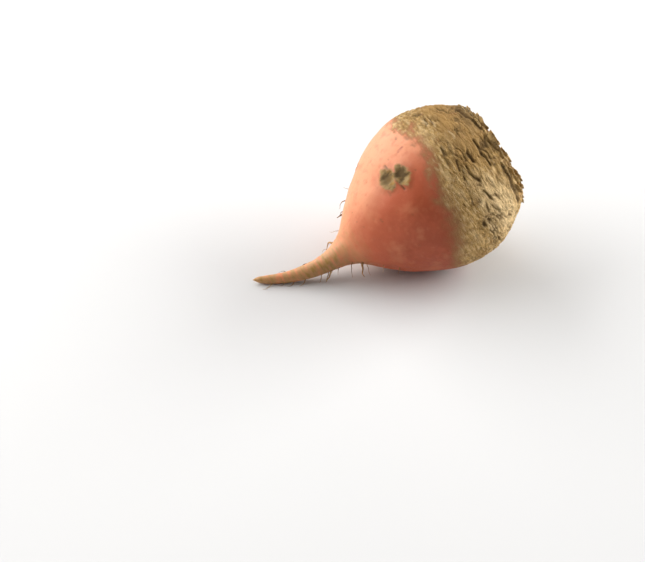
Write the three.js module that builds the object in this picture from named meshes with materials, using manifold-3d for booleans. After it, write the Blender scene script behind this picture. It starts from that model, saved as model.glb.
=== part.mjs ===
// A whole golden beetroot with its leaves cut off, lying on its side: one grown piece, so one mesh.
// Millimetres, +Z up. The root's own axis runs from the crown (towards +X, raised) to the tip of the
// taproot (towards -X, on the table). The origin is at the bottom centre of the root's box.
import * as THREE from "three";
import { mergeVertices } from "three/addons/utils/BufferGeometryUtils.js";
import Module from "manifold-3d";

const wasm = await Module();
wasm.setup();

const radians = THREE.MathUtils.degToRad;

// ---- driving dimensions ----
const BELLY_RADIUS = 37.5; // of the round body
const AXIS_TILT = radians(28); // how far the crown is raised as the root lies
const RESTING_FLAT_DEPTH = 0.6; // how much of the round belly its own weight presses flat
const TAIL_SWEEP_RADIUS = 70; // of the bend that lays the taproot along the table
const TAIL_REST_RADIUS = 2.35; // of the taproot where it lies on the table
const TAIL_PRESS = 0.25; // how much of its underside is flat there
const TAIL_SIDE_SWAY = 7; // sideways, at the tip

// The outline from the crown to the tip: [along the axis from the body's centre, radius], in belly radii.
const OUTLINE = [
  [0.9, 0],
  [0.895, 0.25],
  [0.878, 0.46],
  [0.835, 0.63],
  [0.66, 0.785],
  [0.435, 0.926],
  [0.18, 1.004],
  [-0.087, 1.008],
  [-0.342, 0.948],
  [-0.56, 0.843],
  [-0.79, 0.7],
  [-0.96, 0.575],
  [-1.09, 0.46],
  [-1.2, 0.345],
  [-1.31, 0.24],
  [-1.45, 0.165],
  [-1.65, 0.12],
  [-1.95, 0.09],
  [-2.28, 0.063],
  [-2.5, 0.042],
  [-2.58, 0],
];
const OUTLINE_STEPS = 46;
const ROUND_STEPS = 56;

// Slow swellings round the body: [how many round the body, share of the radius, turn].
const SWELLINGS = [
  [2, 0.01, radians(240)],
  [3, 0.006, radians(330)],
  [5, 0.004, radians(165)],
];
// The two furrows that side roots grow from run down opposite sides of the lower half.
const FURROW_TURN = radians(61);
const FURROW_DEPTH = 0.028; // share of the radius
const FURROW_WIDTH = radians(11);
// Where each comes in and dies out: from and to, along the axis in belly radii.
const SWELLINGS_COME_IN = [-1.4, -0.6];
const FURROWS_COME_IN = [0.15, 0.9]; // below the body's centre
const FURROWS_DIE_OUT = [1.5, 1.9]; // below the body's centre

// Scales left where the leaf stalks were cut, in the spiral that leaves grow in.
const SCALE_COUNT = 22;
const GOLDEN_TURN = Math.PI * (3 - Math.sqrt(5));
const SCALES_REACH = 0.625 * BELLY_RADIUS; // of the outermost, from the axis
const SCALE_SIZE = new THREE.Vector3(4.6, 2.1, 1.5); // half sizes: across, outwards, up
const SMALLEST_SCALE = 0.6; // share of the full size, at the middle
const SCALE_SINK = 0.45; // of a scale's middle below the dome
const SCALE_LEAN = radians(22); // of the outermost
const MIDDLE_SCALE_LEAN = radians(6);
const SCALE_UNEVENNESS = 0.22; // share of the size that one scale differs from the next
const SCALE_SEGMENTS = [9, 6];
const FIRST_SCALE_STEP = 0.6; // how far along the spiral the first scale is, in scales

// Stubs of side roots along the furrows: [along the axis in belly radii, which furrow, length].
const SIDE_ROOTS = [
  [-1.12, 0, 2],
  [-1.27, 1, 3],
  [-1.42, 0, 4],
  [-1.62, 1, 3],
  [-1.85, 0, 2.6],
];
const SIDE_ROOT_RADIUS = 0.8;
const SIDE_ROOT_TIP_RADIUS = 0.35;
const SIDE_ROOT_SWEEP = 0.8; // towards the tip, as a share of the length
const SIDE_ROOT_SEGMENTS = 7;
const SIDE_ROOT_START = 0.5; // how deep a stub begins, as a share of the radius there

const TABLE_SIZE = 400;
const TABLE_DEPTH = 40;
const WELD_DISTANCE = 1e-4; // corners closer together than this are one

// ---- the root's axis: straight through the body, then an arc that ends level ----
const bodyHeight = BELLY_RADIUS - RESTING_FLAT_DEPTH;
const sweepDrop = TAIL_SWEEP_RADIUS * (1 - Math.cos(AXIS_TILT));
const tailHeight = TAIL_REST_RADIUS - TAIL_PRESS;
const sweepStart = (bodyHeight - tailHeight - sweepDrop) / Math.sin(AXIS_TILT);
const sweepLength = TAIL_SWEEP_RADIUS * AXIS_TILT;
const tipDistance = -OUTLINE[OUTLINE.length - 1][0] * BELLY_RADIUS;

// Where the axis is at a distance along it from the body's centre, and its tilt there.
function axisAt(along) {
  const beyond = Math.max(0, -along - sweepStart);
  const swept = Math.min(beyond, sweepLength);
  const tilt = AXIS_TILT - swept / TAIL_SWEEP_RADIUS;
  const straight = Math.max(along, -sweepStart);
  const level = beyond - swept;
  const arcAcross = TAIL_SWEEP_RADIUS * (Math.sin(AXIS_TILT) - Math.sin(tilt));
  const arcDown = TAIL_SWEEP_RADIUS * (Math.cos(tilt) - Math.cos(AXIS_TILT));
  const sway = TAIL_SIDE_SWAY * (beyond / (tipDistance - sweepStart)) ** 2;
  const place = new THREE.Vector3(
    straight * Math.cos(AXIS_TILT) - arcAcross - level,
    sway,
    bodyHeight + straight * Math.sin(AXIS_TILT) - arcDown,
  );
  return { place, tilt };
}

// A point on the root's surface, from its distance along the axis, turn round it and radius.
function surfacePoint(along, turn, radius) {
  const { place, tilt } = axisAt(along);
  const upwards = radius * Math.cos(turn);
  return place.add(
    new THREE.Vector3(
      -upwards * Math.sin(tilt),
      radius * Math.sin(turn),
      upwards * Math.cos(tilt),
    ),
  );
}

// How the radius changes round the body: swellings fade out at the tail, and furrows at the belly.
function unevenness(along, turn) {
  const share = along / BELLY_RADIUS;
  const body = THREE.MathUtils.smoothstep(share, ...SWELLINGS_COME_IN);
  const lower =
    THREE.MathUtils.smoothstep(-share, ...FURROWS_COME_IN) *
    (1 - THREE.MathUtils.smoothstep(-share, ...FURROWS_DIE_OUT));
  let change = 1;
  for (const [count, size, phase] of SWELLINGS)
    change += body * size * Math.cos(count * turn + phase);
  for (const furrow of [FURROW_TURN, FURROW_TURN + Math.PI]) {
    const off = Math.atan2(Math.sin(turn - furrow), Math.cos(turn - furrow));
    change -= lower * FURROW_DEPTH * Math.exp(-((off / FURROW_WIDTH) ** 2));
  }
  return change;
}

// A closed mesh as a manifold-3d solid.
function solidOf(geometry) {
  const bare = geometry.clone();
  bare.deleteAttribute("normal");
  bare.deleteAttribute("uv");
  const merged = mergeVertices(bare, WELD_DISTANCE);
  const corners = merged.index.array;
  const triangles = [];
  for (let i = 0; i < corners.length; i += 3) {
    const [a, b, c] = corners.slice(i, i + 3);
    if (a !== b && b !== c && c !== a) triangles.push(a, b, c);
  }
  return new wasm.Manifold(
    new wasm.Mesh({
      numProp: 3,
      vertProperties: merged.attributes.position.array,
      triVerts: new Uint32Array(triangles),
    }),
  );
}

// The solid's faces as a three.js geometry, flat-shaded.
function geometryOf(solid) {
  const mesh = solid.getMesh();
  const geometry = new THREE.BufferGeometry();
  geometry.setAttribute(
    "position",
    new THREE.BufferAttribute(mesh.vertProperties, 3),
  );
  geometry.setIndex(new THREE.BufferAttribute(mesh.triVerts, 1));
  const faces = geometry.toNonIndexed();
  faces.computeVertexNormals();
  return faces;
}

// The body and taproot: the outline turned round the axis, then laid along it.
function rootSolid() {
  const curve = new THREE.SplineCurve(
    OUTLINE.map(([along, radius]) => new THREE.Vector2(radius, along)),
  );
  const outline = curve
    .getSpacedPoints(OUTLINE_STEPS)
    .map((p) => new THREE.Vector2(Math.max(0, p.x), p.y))
    .map((p) => p.multiplyScalar(BELLY_RADIUS));
  outline[0].x = 0;
  outline[OUTLINE_STEPS].x = 0;
  const turned = new THREE.LatheGeometry(outline, ROUND_STEPS);
  const places = turned.attributes.position;
  const point = new THREE.Vector3();
  for (let i = 0; i < places.count; i++) {
    point.fromBufferAttribute(places, i);
    const turn = Math.atan2(point.x, point.z);
    const radius = Math.hypot(point.x, point.z);
    const placed = surfacePoint(
      point.y,
      turn,
      radius * unevenness(point.y, turn),
    );
    places.setXYZ(i, placed.x, placed.y, placed.z);
  }
  return solidOf(turned);
}

// The radius of the outline at a distance along the axis, by straight steps between its points.
function outlineRadius(along) {
  const share = along / BELLY_RADIUS;
  const next = OUTLINE.findIndex(([place], i) => i > 0 && place <= share);
  const [fromAlong, fromRadius] = OUTLINE[next - 1];
  const [toAlong, toRadius] = OUTLINE[next];
  const step = (share - fromAlong) / (toAlong - fromAlong);
  return (fromRadius + step * (toRadius - fromRadius)) * BELLY_RADIUS;
}

// The height of the crown's low dome at a distance from the axis.
function crownHeight(fromAxis) {
  const next = OUTLINE.findIndex(([, radius]) => radius * BELLY_RADIUS >= fromAxis);
  const [topAlong, topRadius] = OUTLINE[Math.max(0, next - 1)];
  const [lowAlong, lowRadius] = OUTLINE[Math.max(1, next)];
  const step = (fromAxis / BELLY_RADIUS - topRadius) / (lowRadius - topRadius);
  return (topAlong + step * (lowAlong - topAlong)) * BELLY_RADIUS;
}

// One leaf-stalk scale: a low lens that leans outwards on the crown.
function scaleSolid(index) {
  const share = Math.sqrt((index + FIRST_SCALE_STEP) / SCALE_COUNT);
  const fromAxis = SCALES_REACH * share;
  const full = SMALLEST_SCALE + (1 - SMALLEST_SCALE) * share;
  const uneven = 1 + SCALE_UNEVENNESS * Math.sin(index * index);
  const size = SCALE_SIZE.clone().multiplyScalar(full * uneven);
  const lens = new THREE.SphereGeometry(1, ...SCALE_SEGMENTS);
  lens.scale(size.x, size.y, size.z);
  lens.rotateX(-THREE.MathUtils.lerp(MIDDLE_SCALE_LEAN, SCALE_LEAN, share));
  lens.translate(0, fromAxis, 0);
  lens.rotateZ(-index * GOLDEN_TURN);
  lens.translate(0, 0, crownHeight(fromAxis) - SCALE_SINK);
  // From the crown facing up to the crown as the root lies.
  lens.rotateY(Math.PI / 2 - AXIS_TILT);
  lens.translate(0, 0, bodyHeight);
  return solidOf(lens);
}

// One stub of a side root, standing out of its furrow and swept towards the tip.
function sideRootSolid([share, furrow, length]) {
  const along = share * BELLY_RADIUS;
  const radius = outlineRadius(along);
  const turn = FURROW_TURN + furrow * Math.PI;
  const from = surfacePoint(along, turn, radius * SIDE_ROOT_START);
  const to = surfacePoint(along - SIDE_ROOT_SWEEP * length, turn, radius + length);
  const reach = from.distanceTo(to);
  const stub = new THREE.CylinderGeometry(
    SIDE_ROOT_TIP_RADIUS,
    SIDE_ROOT_RADIUS,
    reach,
    SIDE_ROOT_SEGMENTS,
  );
  stub.translate(0, reach / 2, 0);
  const direction = to.clone().sub(from).normalize();
  const up = new THREE.Vector3(0, 1, 0);
  stub.applyQuaternion(new THREE.Quaternion().setFromUnitVectors(up, direction));
  stub.translate(from.x, from.y, from.z);
  return solidOf(stub);
}

// The table under the root, whose top is at height 0: what reaches into it is pressed flat.
function tableSolid() {
  const slab = new THREE.BoxGeometry(TABLE_SIZE, TABLE_SIZE, TABLE_DEPTH);
  slab.translate(0, 0, -TABLE_DEPTH / 2);
  return solidOf(slab);
}

function beetrootGeometry() {
  let solid = rootSolid();
  for (let i = 0; i < SCALE_COUNT; i++) solid = solid.add(scaleSolid(i));
  for (const sideRoot of SIDE_ROOTS) solid = solid.add(sideRootSolid(sideRoot));
  solid = solid.subtract(tableSolid());
  const geometry = geometryOf(solid);
  geometry.computeBoundingBox();
  const middle = geometry.boundingBox.getCenter(new THREE.Vector3());
  geometry.translate(-middle.x, -middle.y, 0);
  return geometry;
}

const skin = new THREE.MeshStandardMaterial({
  color: new THREE.Color(0.62, 0.4, 0.27),
  roughness: 0.75,
  metalness: 0,
});

const beetroot = new THREE.Mesh(beetrootGeometry(), skin);
beetroot.name = "beetroot";

const part = new THREE.Group();
part.add(beetroot);

export default part;
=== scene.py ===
"""A whole golden beetroot lying on a pale table, its leaves trimmed close to the crown.

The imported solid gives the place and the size. The skin is turned from the root's outline, carved
with its corky wrinkles, scars and furrows while it stands upright, and then laid down as the solid
lies. Dried leaf-stalk scales and fine side roots are pieces of their own on it.

Carving is done in millimetres. Everything that is handed to Blender is in metres.
"""

import itertools
import logging
import math
from dataclasses import dataclass, field
from enum import Enum, IntEnum
from typing import Callable

import bpy
import numpy as np
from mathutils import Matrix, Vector

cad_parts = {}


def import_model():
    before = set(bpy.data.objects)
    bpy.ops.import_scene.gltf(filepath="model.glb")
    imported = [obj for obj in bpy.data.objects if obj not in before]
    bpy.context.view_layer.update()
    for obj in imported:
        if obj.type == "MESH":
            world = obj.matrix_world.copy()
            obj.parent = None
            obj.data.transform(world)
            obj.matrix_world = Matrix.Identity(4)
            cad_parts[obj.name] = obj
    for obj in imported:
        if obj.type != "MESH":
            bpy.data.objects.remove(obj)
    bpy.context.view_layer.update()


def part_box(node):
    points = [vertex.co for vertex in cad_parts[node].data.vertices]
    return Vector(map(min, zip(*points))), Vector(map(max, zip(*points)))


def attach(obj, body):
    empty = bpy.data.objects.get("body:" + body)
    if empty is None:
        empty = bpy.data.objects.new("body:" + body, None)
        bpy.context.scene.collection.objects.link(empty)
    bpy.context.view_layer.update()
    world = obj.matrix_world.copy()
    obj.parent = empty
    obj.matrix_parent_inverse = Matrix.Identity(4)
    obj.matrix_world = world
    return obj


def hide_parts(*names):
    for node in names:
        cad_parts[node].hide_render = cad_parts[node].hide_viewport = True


LOG = logging.getLogger("beetroot")
MM = 0.001
BELLY_RADIUS = 37.5
GOLDEN_TURN = math.pi * (3 - math.sqrt(5))
Colour = tuple[float, float, float, float]
Pair = tuple[float, float]
Course = tuple[Pair, ...]


class Layer(Enum):
    """What is painted on the skin's points for its material to read."""

    CORK = "cork"
    # How much a point lies in a crease, which the skin's finish paints as shade.
    CREASE = "crease"
    RELIEF = "relief"
    SCAR_RIM = "scar_rim"
    SCAR_CORE = "scar_core"
    SCRATCH = "scratch"
    STAIN = "stain"
    PEEL = "peel"
    CROWN = "crown"
    TAIL = "tail"
    SOFT = "soft"
    TONE = "tone"
    EDGE = "edge"


class Pattern(IntEnum):
    """Which pattern of noise each detail takes."""

    CORK_EDGE = 11
    SWAY = 21
    FOLDS = 31
    LINES = 32
    CRACKED = 33
    PLATES = 34
    GRAIN = 35
    FIBRES = 36
    LUMPS = 41
    RINGS = 42
    DENTS = 43
    SCAR_EDGE = 51
    SCAR_STRANDS = 52
    MARK_WANDER = 55
    BASE_EDGE = 61
    BASE_SWAY = 62
    BASE_BROKEN = 66
    SCALE_EDGE = 71
    SCALE_WARP = 72
    STALK_WARP = 75
    STALK_TOP = 76


class Draw(IntEnum):
    """Which run of random draws each kind of small thing takes."""

    FRECKLES = 5
    SCALES = 17
    STALKS = 23
    ROOTLETS = 31


class Noise:
    """Smooth noise and cell noise over many points at once, the same on every run."""

    smooth_gain = 1.6
    octave_shift = 17.3

    def __init__(self, seed: int) -> None:
        """Draws the tables that the noise is read from.

        Args:
            seed: picks one pattern of noise.
        """
        rng = np.random.default_rng(seed)
        self.table = rng.permutation(256)
        slopes = rng.normal(size=(256, 3))
        self.slopes = slopes / np.linalg.norm(slopes, axis=1)[:, None]
        self.spots = rng.random((256, 3))

    def _pick(self, cell: np.ndarray) -> np.ndarray:
        """Gives each cell of a grid its own place in the tables.

        Args:
            cell: whole-numbered grid cells, one a row.

        Returns:
            A number from 0 to 255 for each.
        """
        first = self.table[cell[:, 0] & 255]
        second = self.table[(first + cell[:, 1]) & 255]
        return self.table[(second + cell[:, 2]) & 255]

    def smooth(self, points: np.ndarray) -> np.ndarray:
        """Soft noise with one bump or hollow to each grid cell.

        Args:
            points: where to read it, one a row.

        Returns:
            Values between about -1 and 1.
        """
        base = np.floor(points).astype(int)
        part = points - base
        fade = part**3 * (part * (part * 6 - 15) + 10)
        total = np.zeros(len(points))
        for corner in itertools.product((0, 1), repeat=3):
            offset = np.array(corner)
            slope = self.slopes[self._pick(base + offset)]
            weight = np.prod(np.where(offset == 1, fade, 1 - fade), axis=1)
            total += weight * np.sum(slope * (part - offset), axis=1)
        return total * self.smooth_gain

    def fractal(self, points: np.ndarray, octaves: int, gain: float = 0.5) -> np.ndarray:
        """Soft noise with finer noise laid over it.

        Args:
            points: where to read it, one a row.
            octaves: how many layers there are, each twice as fine.
            gain: how strong each layer is beside the one before.

        Returns:
            Values between about -1 and 1.
        """
        total = np.zeros(len(points))
        strength = 1.0
        whole = 0.0
        for octave in range(octaves):
            total += strength * self.smooth(points * 2**octave + self.octave_shift * octave)
            whole += strength
            strength *= gain
        return total / whole

    def cells(self, points: np.ndarray) -> tuple[np.ndarray, np.ndarray]:
        """Distances to the nearest two of a scatter of spots, one to each grid cell.

        Args:
            points: where to read it, one a row.

        Returns:
            The distance to the nearest spot, and to the next nearest.
        """
        base = np.floor(points).astype(int)
        nearest = np.full(len(points), np.inf)
        second = np.full(len(points), np.inf)
        for step in itertools.product((-1, 0, 1), repeat=3):
            cell = base + np.array(step)
            spot = cell + self.spots[self._pick(cell)]
            away = np.linalg.norm(points - spot, axis=1)
            second = np.minimum(second, np.maximum(nearest, away))
            nearest = np.minimum(nearest, away)
        return nearest, second


def rise(values: np.ndarray, low: float, high: float) -> np.ndarray:
    """A smooth step from 0 to 1.

    Args:
        values: what the step follows.
        low: where it leaves 0.
        high: where it reaches 1.

    Returns:
        The step at each value.
    """
    share = np.clip((values - low) / (high - low), 0, 1)
    return share * share * (3 - 2 * share)


def hump(values: np.ndarray, width: float) -> np.ndarray:
    """A bell shape: 1 where a value is 0, small beyond the width."""
    return np.exp(-((values / width) ** 2))


def turn_apart(turns: np.ndarray, other: float) -> np.ndarray:
    """The signed turn from one direction round the root to others, the short way."""
    return (turns - other + math.pi) % (2 * math.pi) - math.pi


def round_axis(radius: np.ndarray, turns: np.ndarray, along: np.ndarray) -> np.ndarray:
    """The upright places at distances from the axis, turns round it and distances along it."""
    return np.column_stack((radius * np.sin(turns), radius * np.cos(turns), along))


def direction(azimuth: float, elevation: float) -> Vector:
    """Which way a thing stands from the root.

    Args:
        azimuth: degrees round it, from the side that faces -Y.
        elevation: degrees up.

    Returns:
        A direction of length 1, away from the root.
    """
    turn, lift = math.radians(azimuth), math.radians(elevation)
    level = math.cos(lift)
    return Vector((math.sin(turn) * level, -math.cos(turn) * level, math.sin(lift)))


def deselect_all() -> None:
    """Leaves no object selected, so that the next operator acts on its own piece only."""
    if bpy.context.mode != "OBJECT":
        bpy.ops.object.mode_set(mode="OBJECT")
    bpy.ops.object.select_all(action="DESELECT")


def make_active(piece: bpy.types.Object) -> None:
    """Selects one object alone and makes it the active one.

    Args:
        piece: the object.
    """
    deselect_all()
    piece.select_set(True)
    bpy.context.view_layer.objects.active = piece


def points_of(piece: bpy.types.Object) -> np.ndarray:
    """Reads where a mesh's points are.

    Args:
        piece: a mesh object.

    Returns:
        Its points, one a row, in metres.
    """
    flat = np.empty(len(piece.data.vertices) * 3)
    piece.data.vertices.foreach_get("co", flat)
    return flat.reshape(-1, 3)


def normals_of(piece: bpy.types.Object) -> np.ndarray:
    """Reads which way a mesh's points face.

    Args:
        piece: a mesh object.

    Returns:
        A direction of length 1 for each point, one a row.
    """
    flat = np.empty(len(piece.data.vertices) * 3)
    piece.data.vertices.foreach_get("normal", flat)
    return flat.reshape(-1, 3)


def move_points(piece: bpy.types.Object, points: np.ndarray) -> None:
    """Puts a mesh's points in new places.

    Args:
        piece: a mesh object.
        points: the new places, one a row, in metres.
    """
    piece.data.vertices.foreach_set("co", points.ravel())
    piece.data.update()


def paint(piece: bpy.types.Object, layer: Layer, values: np.ndarray) -> None:
    """Paints a layer on a mesh's points.

    Args:
        piece: a mesh object.
        layer: which layer it is.
        values: one value a point, from 0 to 1.
    """
    attribute = piece.data.attributes.get(layer.value)
    if attribute is None:
        attribute = piece.data.attributes.new(layer.value, "FLOAT", "POINT")
    attribute.data.foreach_set("value", values.astype(np.float32))


def apply_modifier(piece: bpy.types.Object, kind: str, **settings: float) -> None:
    """Adds a modifier to a piece and applies it.

    Args:
        piece: a mesh object.
        kind: the modifier's type.
        **settings: its properties.
    """
    make_active(piece)
    modifier = piece.modifiers.new(kind.lower(), kind)
    for name, value in settings.items():
        setattr(modifier, name, value)
    bpy.ops.object.modifier_apply(modifier=modifier.name)


def face_outwards() -> None:
    """Turns all faces of the piece in edit mode outwards, and leaves edit mode."""
    bpy.ops.mesh.select_all(action="SELECT")
    bpy.ops.mesh.normals_make_consistent(inside=False)
    bpy.ops.object.mode_set(mode="OBJECT")


def copy_of(model: bpy.types.Object) -> bpy.types.Object:
    """Copies a modelled piece and its mesh.

    Args:
        model: the piece.

    Returns:
        The copy.
    """
    make_active(model)
    bpy.ops.object.duplicate(linked=False)
    return bpy.context.object


def join_copies(model: bpy.types.Object, copies: list[bpy.types.Object], name: str) -> bpy.types.Object:
    """Makes one piece of the copies of a model, and takes the model away.

    Args:
        model: what the copies were made from.
        copies: the copies, each in its place.
        name: what the piece is called.

    Returns:
        The joined piece.
    """
    bpy.data.objects.remove(model, do_unlink=True)
    deselect_all()
    for copy in copies:
        copy.select_set(True)
    bpy.context.view_layer.objects.active = copies[0]
    bpy.ops.object.join()
    piece = bpy.context.object
    piece.name = name
    bpy.ops.object.shade_smooth()
    return piece


@dataclass(frozen=True)
class RestingAxis:
    """The line through the root from crown to tip, as it lies, in millimetres.

    It runs straight through the body and then sweeps down until the taproot lies level.
    """

    belly_radius: float = BELLY_RADIUS
    tilt: float = math.radians(28)
    flat_depth: float = 0.6
    sweep_radius: float = 70.0
    tail_rest_radius: float = 2.35
    tail_press: float = 0.25
    tail_sway: float = 7.0
    tip_distance: float = 2.58 * BELLY_RADIUS

    @property
    def body_height(self) -> float:
        """How high the body's centre is above the table."""
        return self.belly_radius - self.flat_depth

    @property
    def sweep_start(self) -> float:
        """How far the taproot's sweep begins from the body's centre.

        Returns:
            The distance along the root's axis, in millimetres.
        """
        drop = self.sweep_radius * (1 - math.cos(self.tilt))
        tail_height = self.tail_rest_radius - self.tail_press
        return (self.body_height - tail_height - drop) / math.sin(self.tilt)

    def lay(self, points: np.ndarray) -> np.ndarray:
        """Takes points of the upright root to where they are as it lies.

        Args:
            points: upright places (side, up, along), one a row.

        Returns:
            Places with the body's centre above the origin, one a row.
        """
        side, up, along = points.T
        beyond = np.maximum(0, -along - self.sweep_start)
        swept = np.minimum(beyond, self.sweep_radius * self.tilt)
        tilt = self.tilt - swept / self.sweep_radius
        straight = np.maximum(along, -self.sweep_start)
        across = self.sweep_radius * (math.sin(self.tilt) - np.sin(tilt))
        down = self.sweep_radius * (np.cos(tilt) - math.cos(self.tilt))
        sway = (beyond / (self.tip_distance - self.sweep_start)) ** 2
        x = straight * math.cos(self.tilt) - across - (beyond - swept) - up * np.sin(tilt)
        y = side + self.tail_sway * sway
        z = self.body_height + straight * math.sin(self.tilt) - down + up * np.cos(tilt)
        return np.column_stack((x, y, z))


@dataclass(frozen=True)
class Outline:
    """The root's outline from the crown's middle to the tip: (along, radius) in belly radii."""

    belly_radius: float = BELLY_RADIUS
    points: Course = (
        (0.9, 0.0),
        (0.895, 0.25),
        (0.878, 0.46),
        (0.835, 0.63),
        (0.66, 0.785),
        (0.435, 0.926),
        (0.18, 1.004),
        (-0.087, 1.008),
        (-0.342, 0.948),
        (-0.56, 0.843),
        (-0.79, 0.7),
        (-0.96, 0.575),
        (-1.09, 0.46),
        (-1.2, 0.345),
        (-1.31, 0.24),
        (-1.45, 0.165),
        (-1.65, 0.12),
        (-1.95, 0.09),
        (-2.28, 0.063),
        (-2.5, 0.042),
        (-2.58, 0.0),
    )
    crown_step: float = 1.4
    lower_step: float = 3.2
    steps_widen: Pair = (6.0, 18.0)

    def curve(self, samples: int = 40) -> np.ndarray:
        """A smooth curve through the outline's points.

        Args:
            samples: how many steps it takes from one point to the next.

        Returns:
            (radius, along) in millimetres, one a row.
        """
        knots = np.array([(r, a) for a, r in self.points]) * self.belly_radius
        knots = np.vstack((knots[0], knots, knots[-1]))
        shares = np.linspace(0, 1, samples, endpoint=False)[:, None]
        spans = []
        for before, start, end, after in zip(knots, knots[1:], knots[2:], knots[3:]):
            leave = (end - before) / 2
            arrive = (after - start) / 2
            cubic = 2 * start - 2 * end + leave + arrive
            square = -3 * start + 3 * end - 2 * leave - arrive
            spans.append(((cubic * shares + square) * shares + leave) * shares + start)
        return np.vstack((*spans, knots[-1:]))

    def turning_points(self) -> np.ndarray:
        """The curve's points at the spacing that the skin is turned with.

        Returns:
            (radius, along) in millimetres, closer together on the corky half.
        """
        curve = self.curve()
        lengths = np.linalg.norm(np.diff(curve, axis=0), axis=1)
        travelled = np.concatenate(([0], np.cumsum(lengths)))
        marks = [0.0]
        while marks[-1] < travelled[-1]:
            along = np.interp(marks[-1], travelled, curve[:, 1])
            coarse = rise(np.array([-along]), *self.steps_widen)[0]
            marks.append(marks[-1] + self.crown_step + coarse * (self.lower_step - self.crown_step))
        places = np.array(marks) * travelled[-1] / marks[-1]
        radius = np.maximum(0, np.interp(places, travelled, curve[:, 0]))
        return np.column_stack((radius, np.interp(places, travelled, curve[:, 1])))

    def radius_at(self, along: np.ndarray) -> np.ndarray:
        """The root's radius at distances along its axis, in millimetres."""
        curve = self.curve()[::-1]
        return np.interp(along, curve[:, 1], curve[:, 0])

    def crown_height(self, radius: float) -> float:
        """How far along the axis the crown is at a distance from it.

        Args:
            radius: the distance from the axis, in millimetres.

        Returns:
            Millimetres along.
        """
        curve = self.curve()
        widest = int(curve[:, 0].argmax())
        return float(np.interp(radius, curve[:widest, 0], curve[:widest, 1]))


@dataclass(frozen=True)
class LeafSpiral:
    """The spiral of places that the leaves grew from, seen along the root's axis."""

    reach: float = 0.625 * BELLY_RADIUS
    count: int = 22
    with_outer: int = 40
    first_step: float = 0.6
    first_turn: float = math.pi / 2
    base_stretch: float = 1.7

    def places(self, start: int, stop: int) -> list[Pair]:
        """Where some of the leaves grew.

        Args:
            start: the first of them, counted from the middle.
            stop: the leaf after the last.

        Returns:
            Each one's turn round the axis, in radians, and distance from it, in millimetres.
        """
        leaves = range(start, stop)
        turns = [self.first_turn + leaf * GOLDEN_TURN for leaf in leaves]
        radii = [self.reach * math.sqrt((leaf + self.first_step) / self.count) for leaf in leaves]
        return list(zip(turns, radii))

    def bases(self, upright: np.ndarray, turns: np.ndarray) -> tuple[np.ndarray, np.ndarray]:
        """How the trimmed face is shared out among the leaves' bases.

        Args:
            upright: points in millimetres.
            turns: their directions round the root.

        Returns:
            How far out each point is in its own base, and how far it is from the crack round it,
            both in millimetres.
        """
        radius = np.hypot(upright[:, 0], upright[:, 1])
        nearest = np.full(len(upright), np.inf)
        second = nearest.copy()
        outward = np.zeros(len(upright))
        for turn, from_axis in self.places(0, self.with_outer):
            across = radius * turn_apart(turns, turn)
            out = radius - from_axis
            away = np.hypot(across / self.base_stretch, out)
            closer = away < nearest
            second = np.where(closer, nearest, np.minimum(second, away))
            nearest = np.where(closer, away, nearest)
            outward = np.where(closer, out, outward)
        return outward, second - nearest


@dataclass(frozen=True)
class Crevice:
    """One deep crack in the cork, along a path of (turn in degrees, millimetres along)."""

    path: Course
    width: float
    depth: float


@dataclass(frozen=True)
class LensScar:
    """A lens-shaped scar where a side root came away, drawn out round the body."""

    turn: float
    along: float
    length: float
    width: float
    lean: float
    core_shift: float
    darkness: float


@dataclass(frozen=True)
class Mark:
    """A thin line or dot on the skin, along a path of (turn in degrees, millimetres along)."""

    layer: Layer
    path: Course
    width: float
    strength: float


@dataclass(frozen=True)
class CorkEdge:
    """Where the corky skin gives way to smooth skin round the body, in millimetres along."""

    middle: float = -0.5
    bays: tuple[tuple[float, float, float], ...] = (
        (-15.0, 22.0, 5.5),
        (-122.0, 36.0, -11.6),
        (95.0, 35.0, 4.0),
        (165.0, 26.0, -5.0),
    )
    waviness: float = 1.9
    wave_size: float = 4.6
    wave_stretch: tuple[float, float, float] = (0.55, 0.55, 1.0)
    patchy_side: float = 14.0
    patchy_width: float = 34.0
    patchiest: float = 2.6
    soft_side: float = -88.0
    soft_width: float = 62.0
    softest: float = 1.5

    def wander(self, upright: np.ndarray, turns: np.ndarray) -> np.ndarray:
        """How far the edge strays from its course, most of all where it is patchy.

        Args:
            upright: points in millimetres.
            turns: their directions round the root, in radians.

        Returns:
            Millimetres along.
        """
        apart = turn_apart(turns, math.radians(self.patchy_side))
        patchy = 1 + self.patchiest * hump(apart, math.radians(self.patchy_width))
        drawn = upright * np.array(self.wave_stretch)
        return self.waviness * patchy * Noise(Pattern.CORK_EDGE).fractal(drawn / self.wave_size, 4, 0.7)

    def softness(self, turns: np.ndarray) -> np.ndarray:
        """How many times wider the edge is at each turn than at its sharpest."""
        apart = turn_apart(turns, math.radians(self.soft_side))
        return 1 + self.softest * hump(apart, math.radians(self.soft_width))

    def along(self, turns: np.ndarray) -> np.ndarray:
        """How far along the axis the edge is at each turn.

        Args:
            turns: directions round the root, in radians.

        Returns:
            Millimetres along.
        """
        edge = np.full(len(turns), self.middle)
        for turn, width, reach in self.bays:
            apart = turn_apart(turns, math.radians(turn))
            edge += reach * hump(apart, math.radians(width))
        return edge


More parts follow.
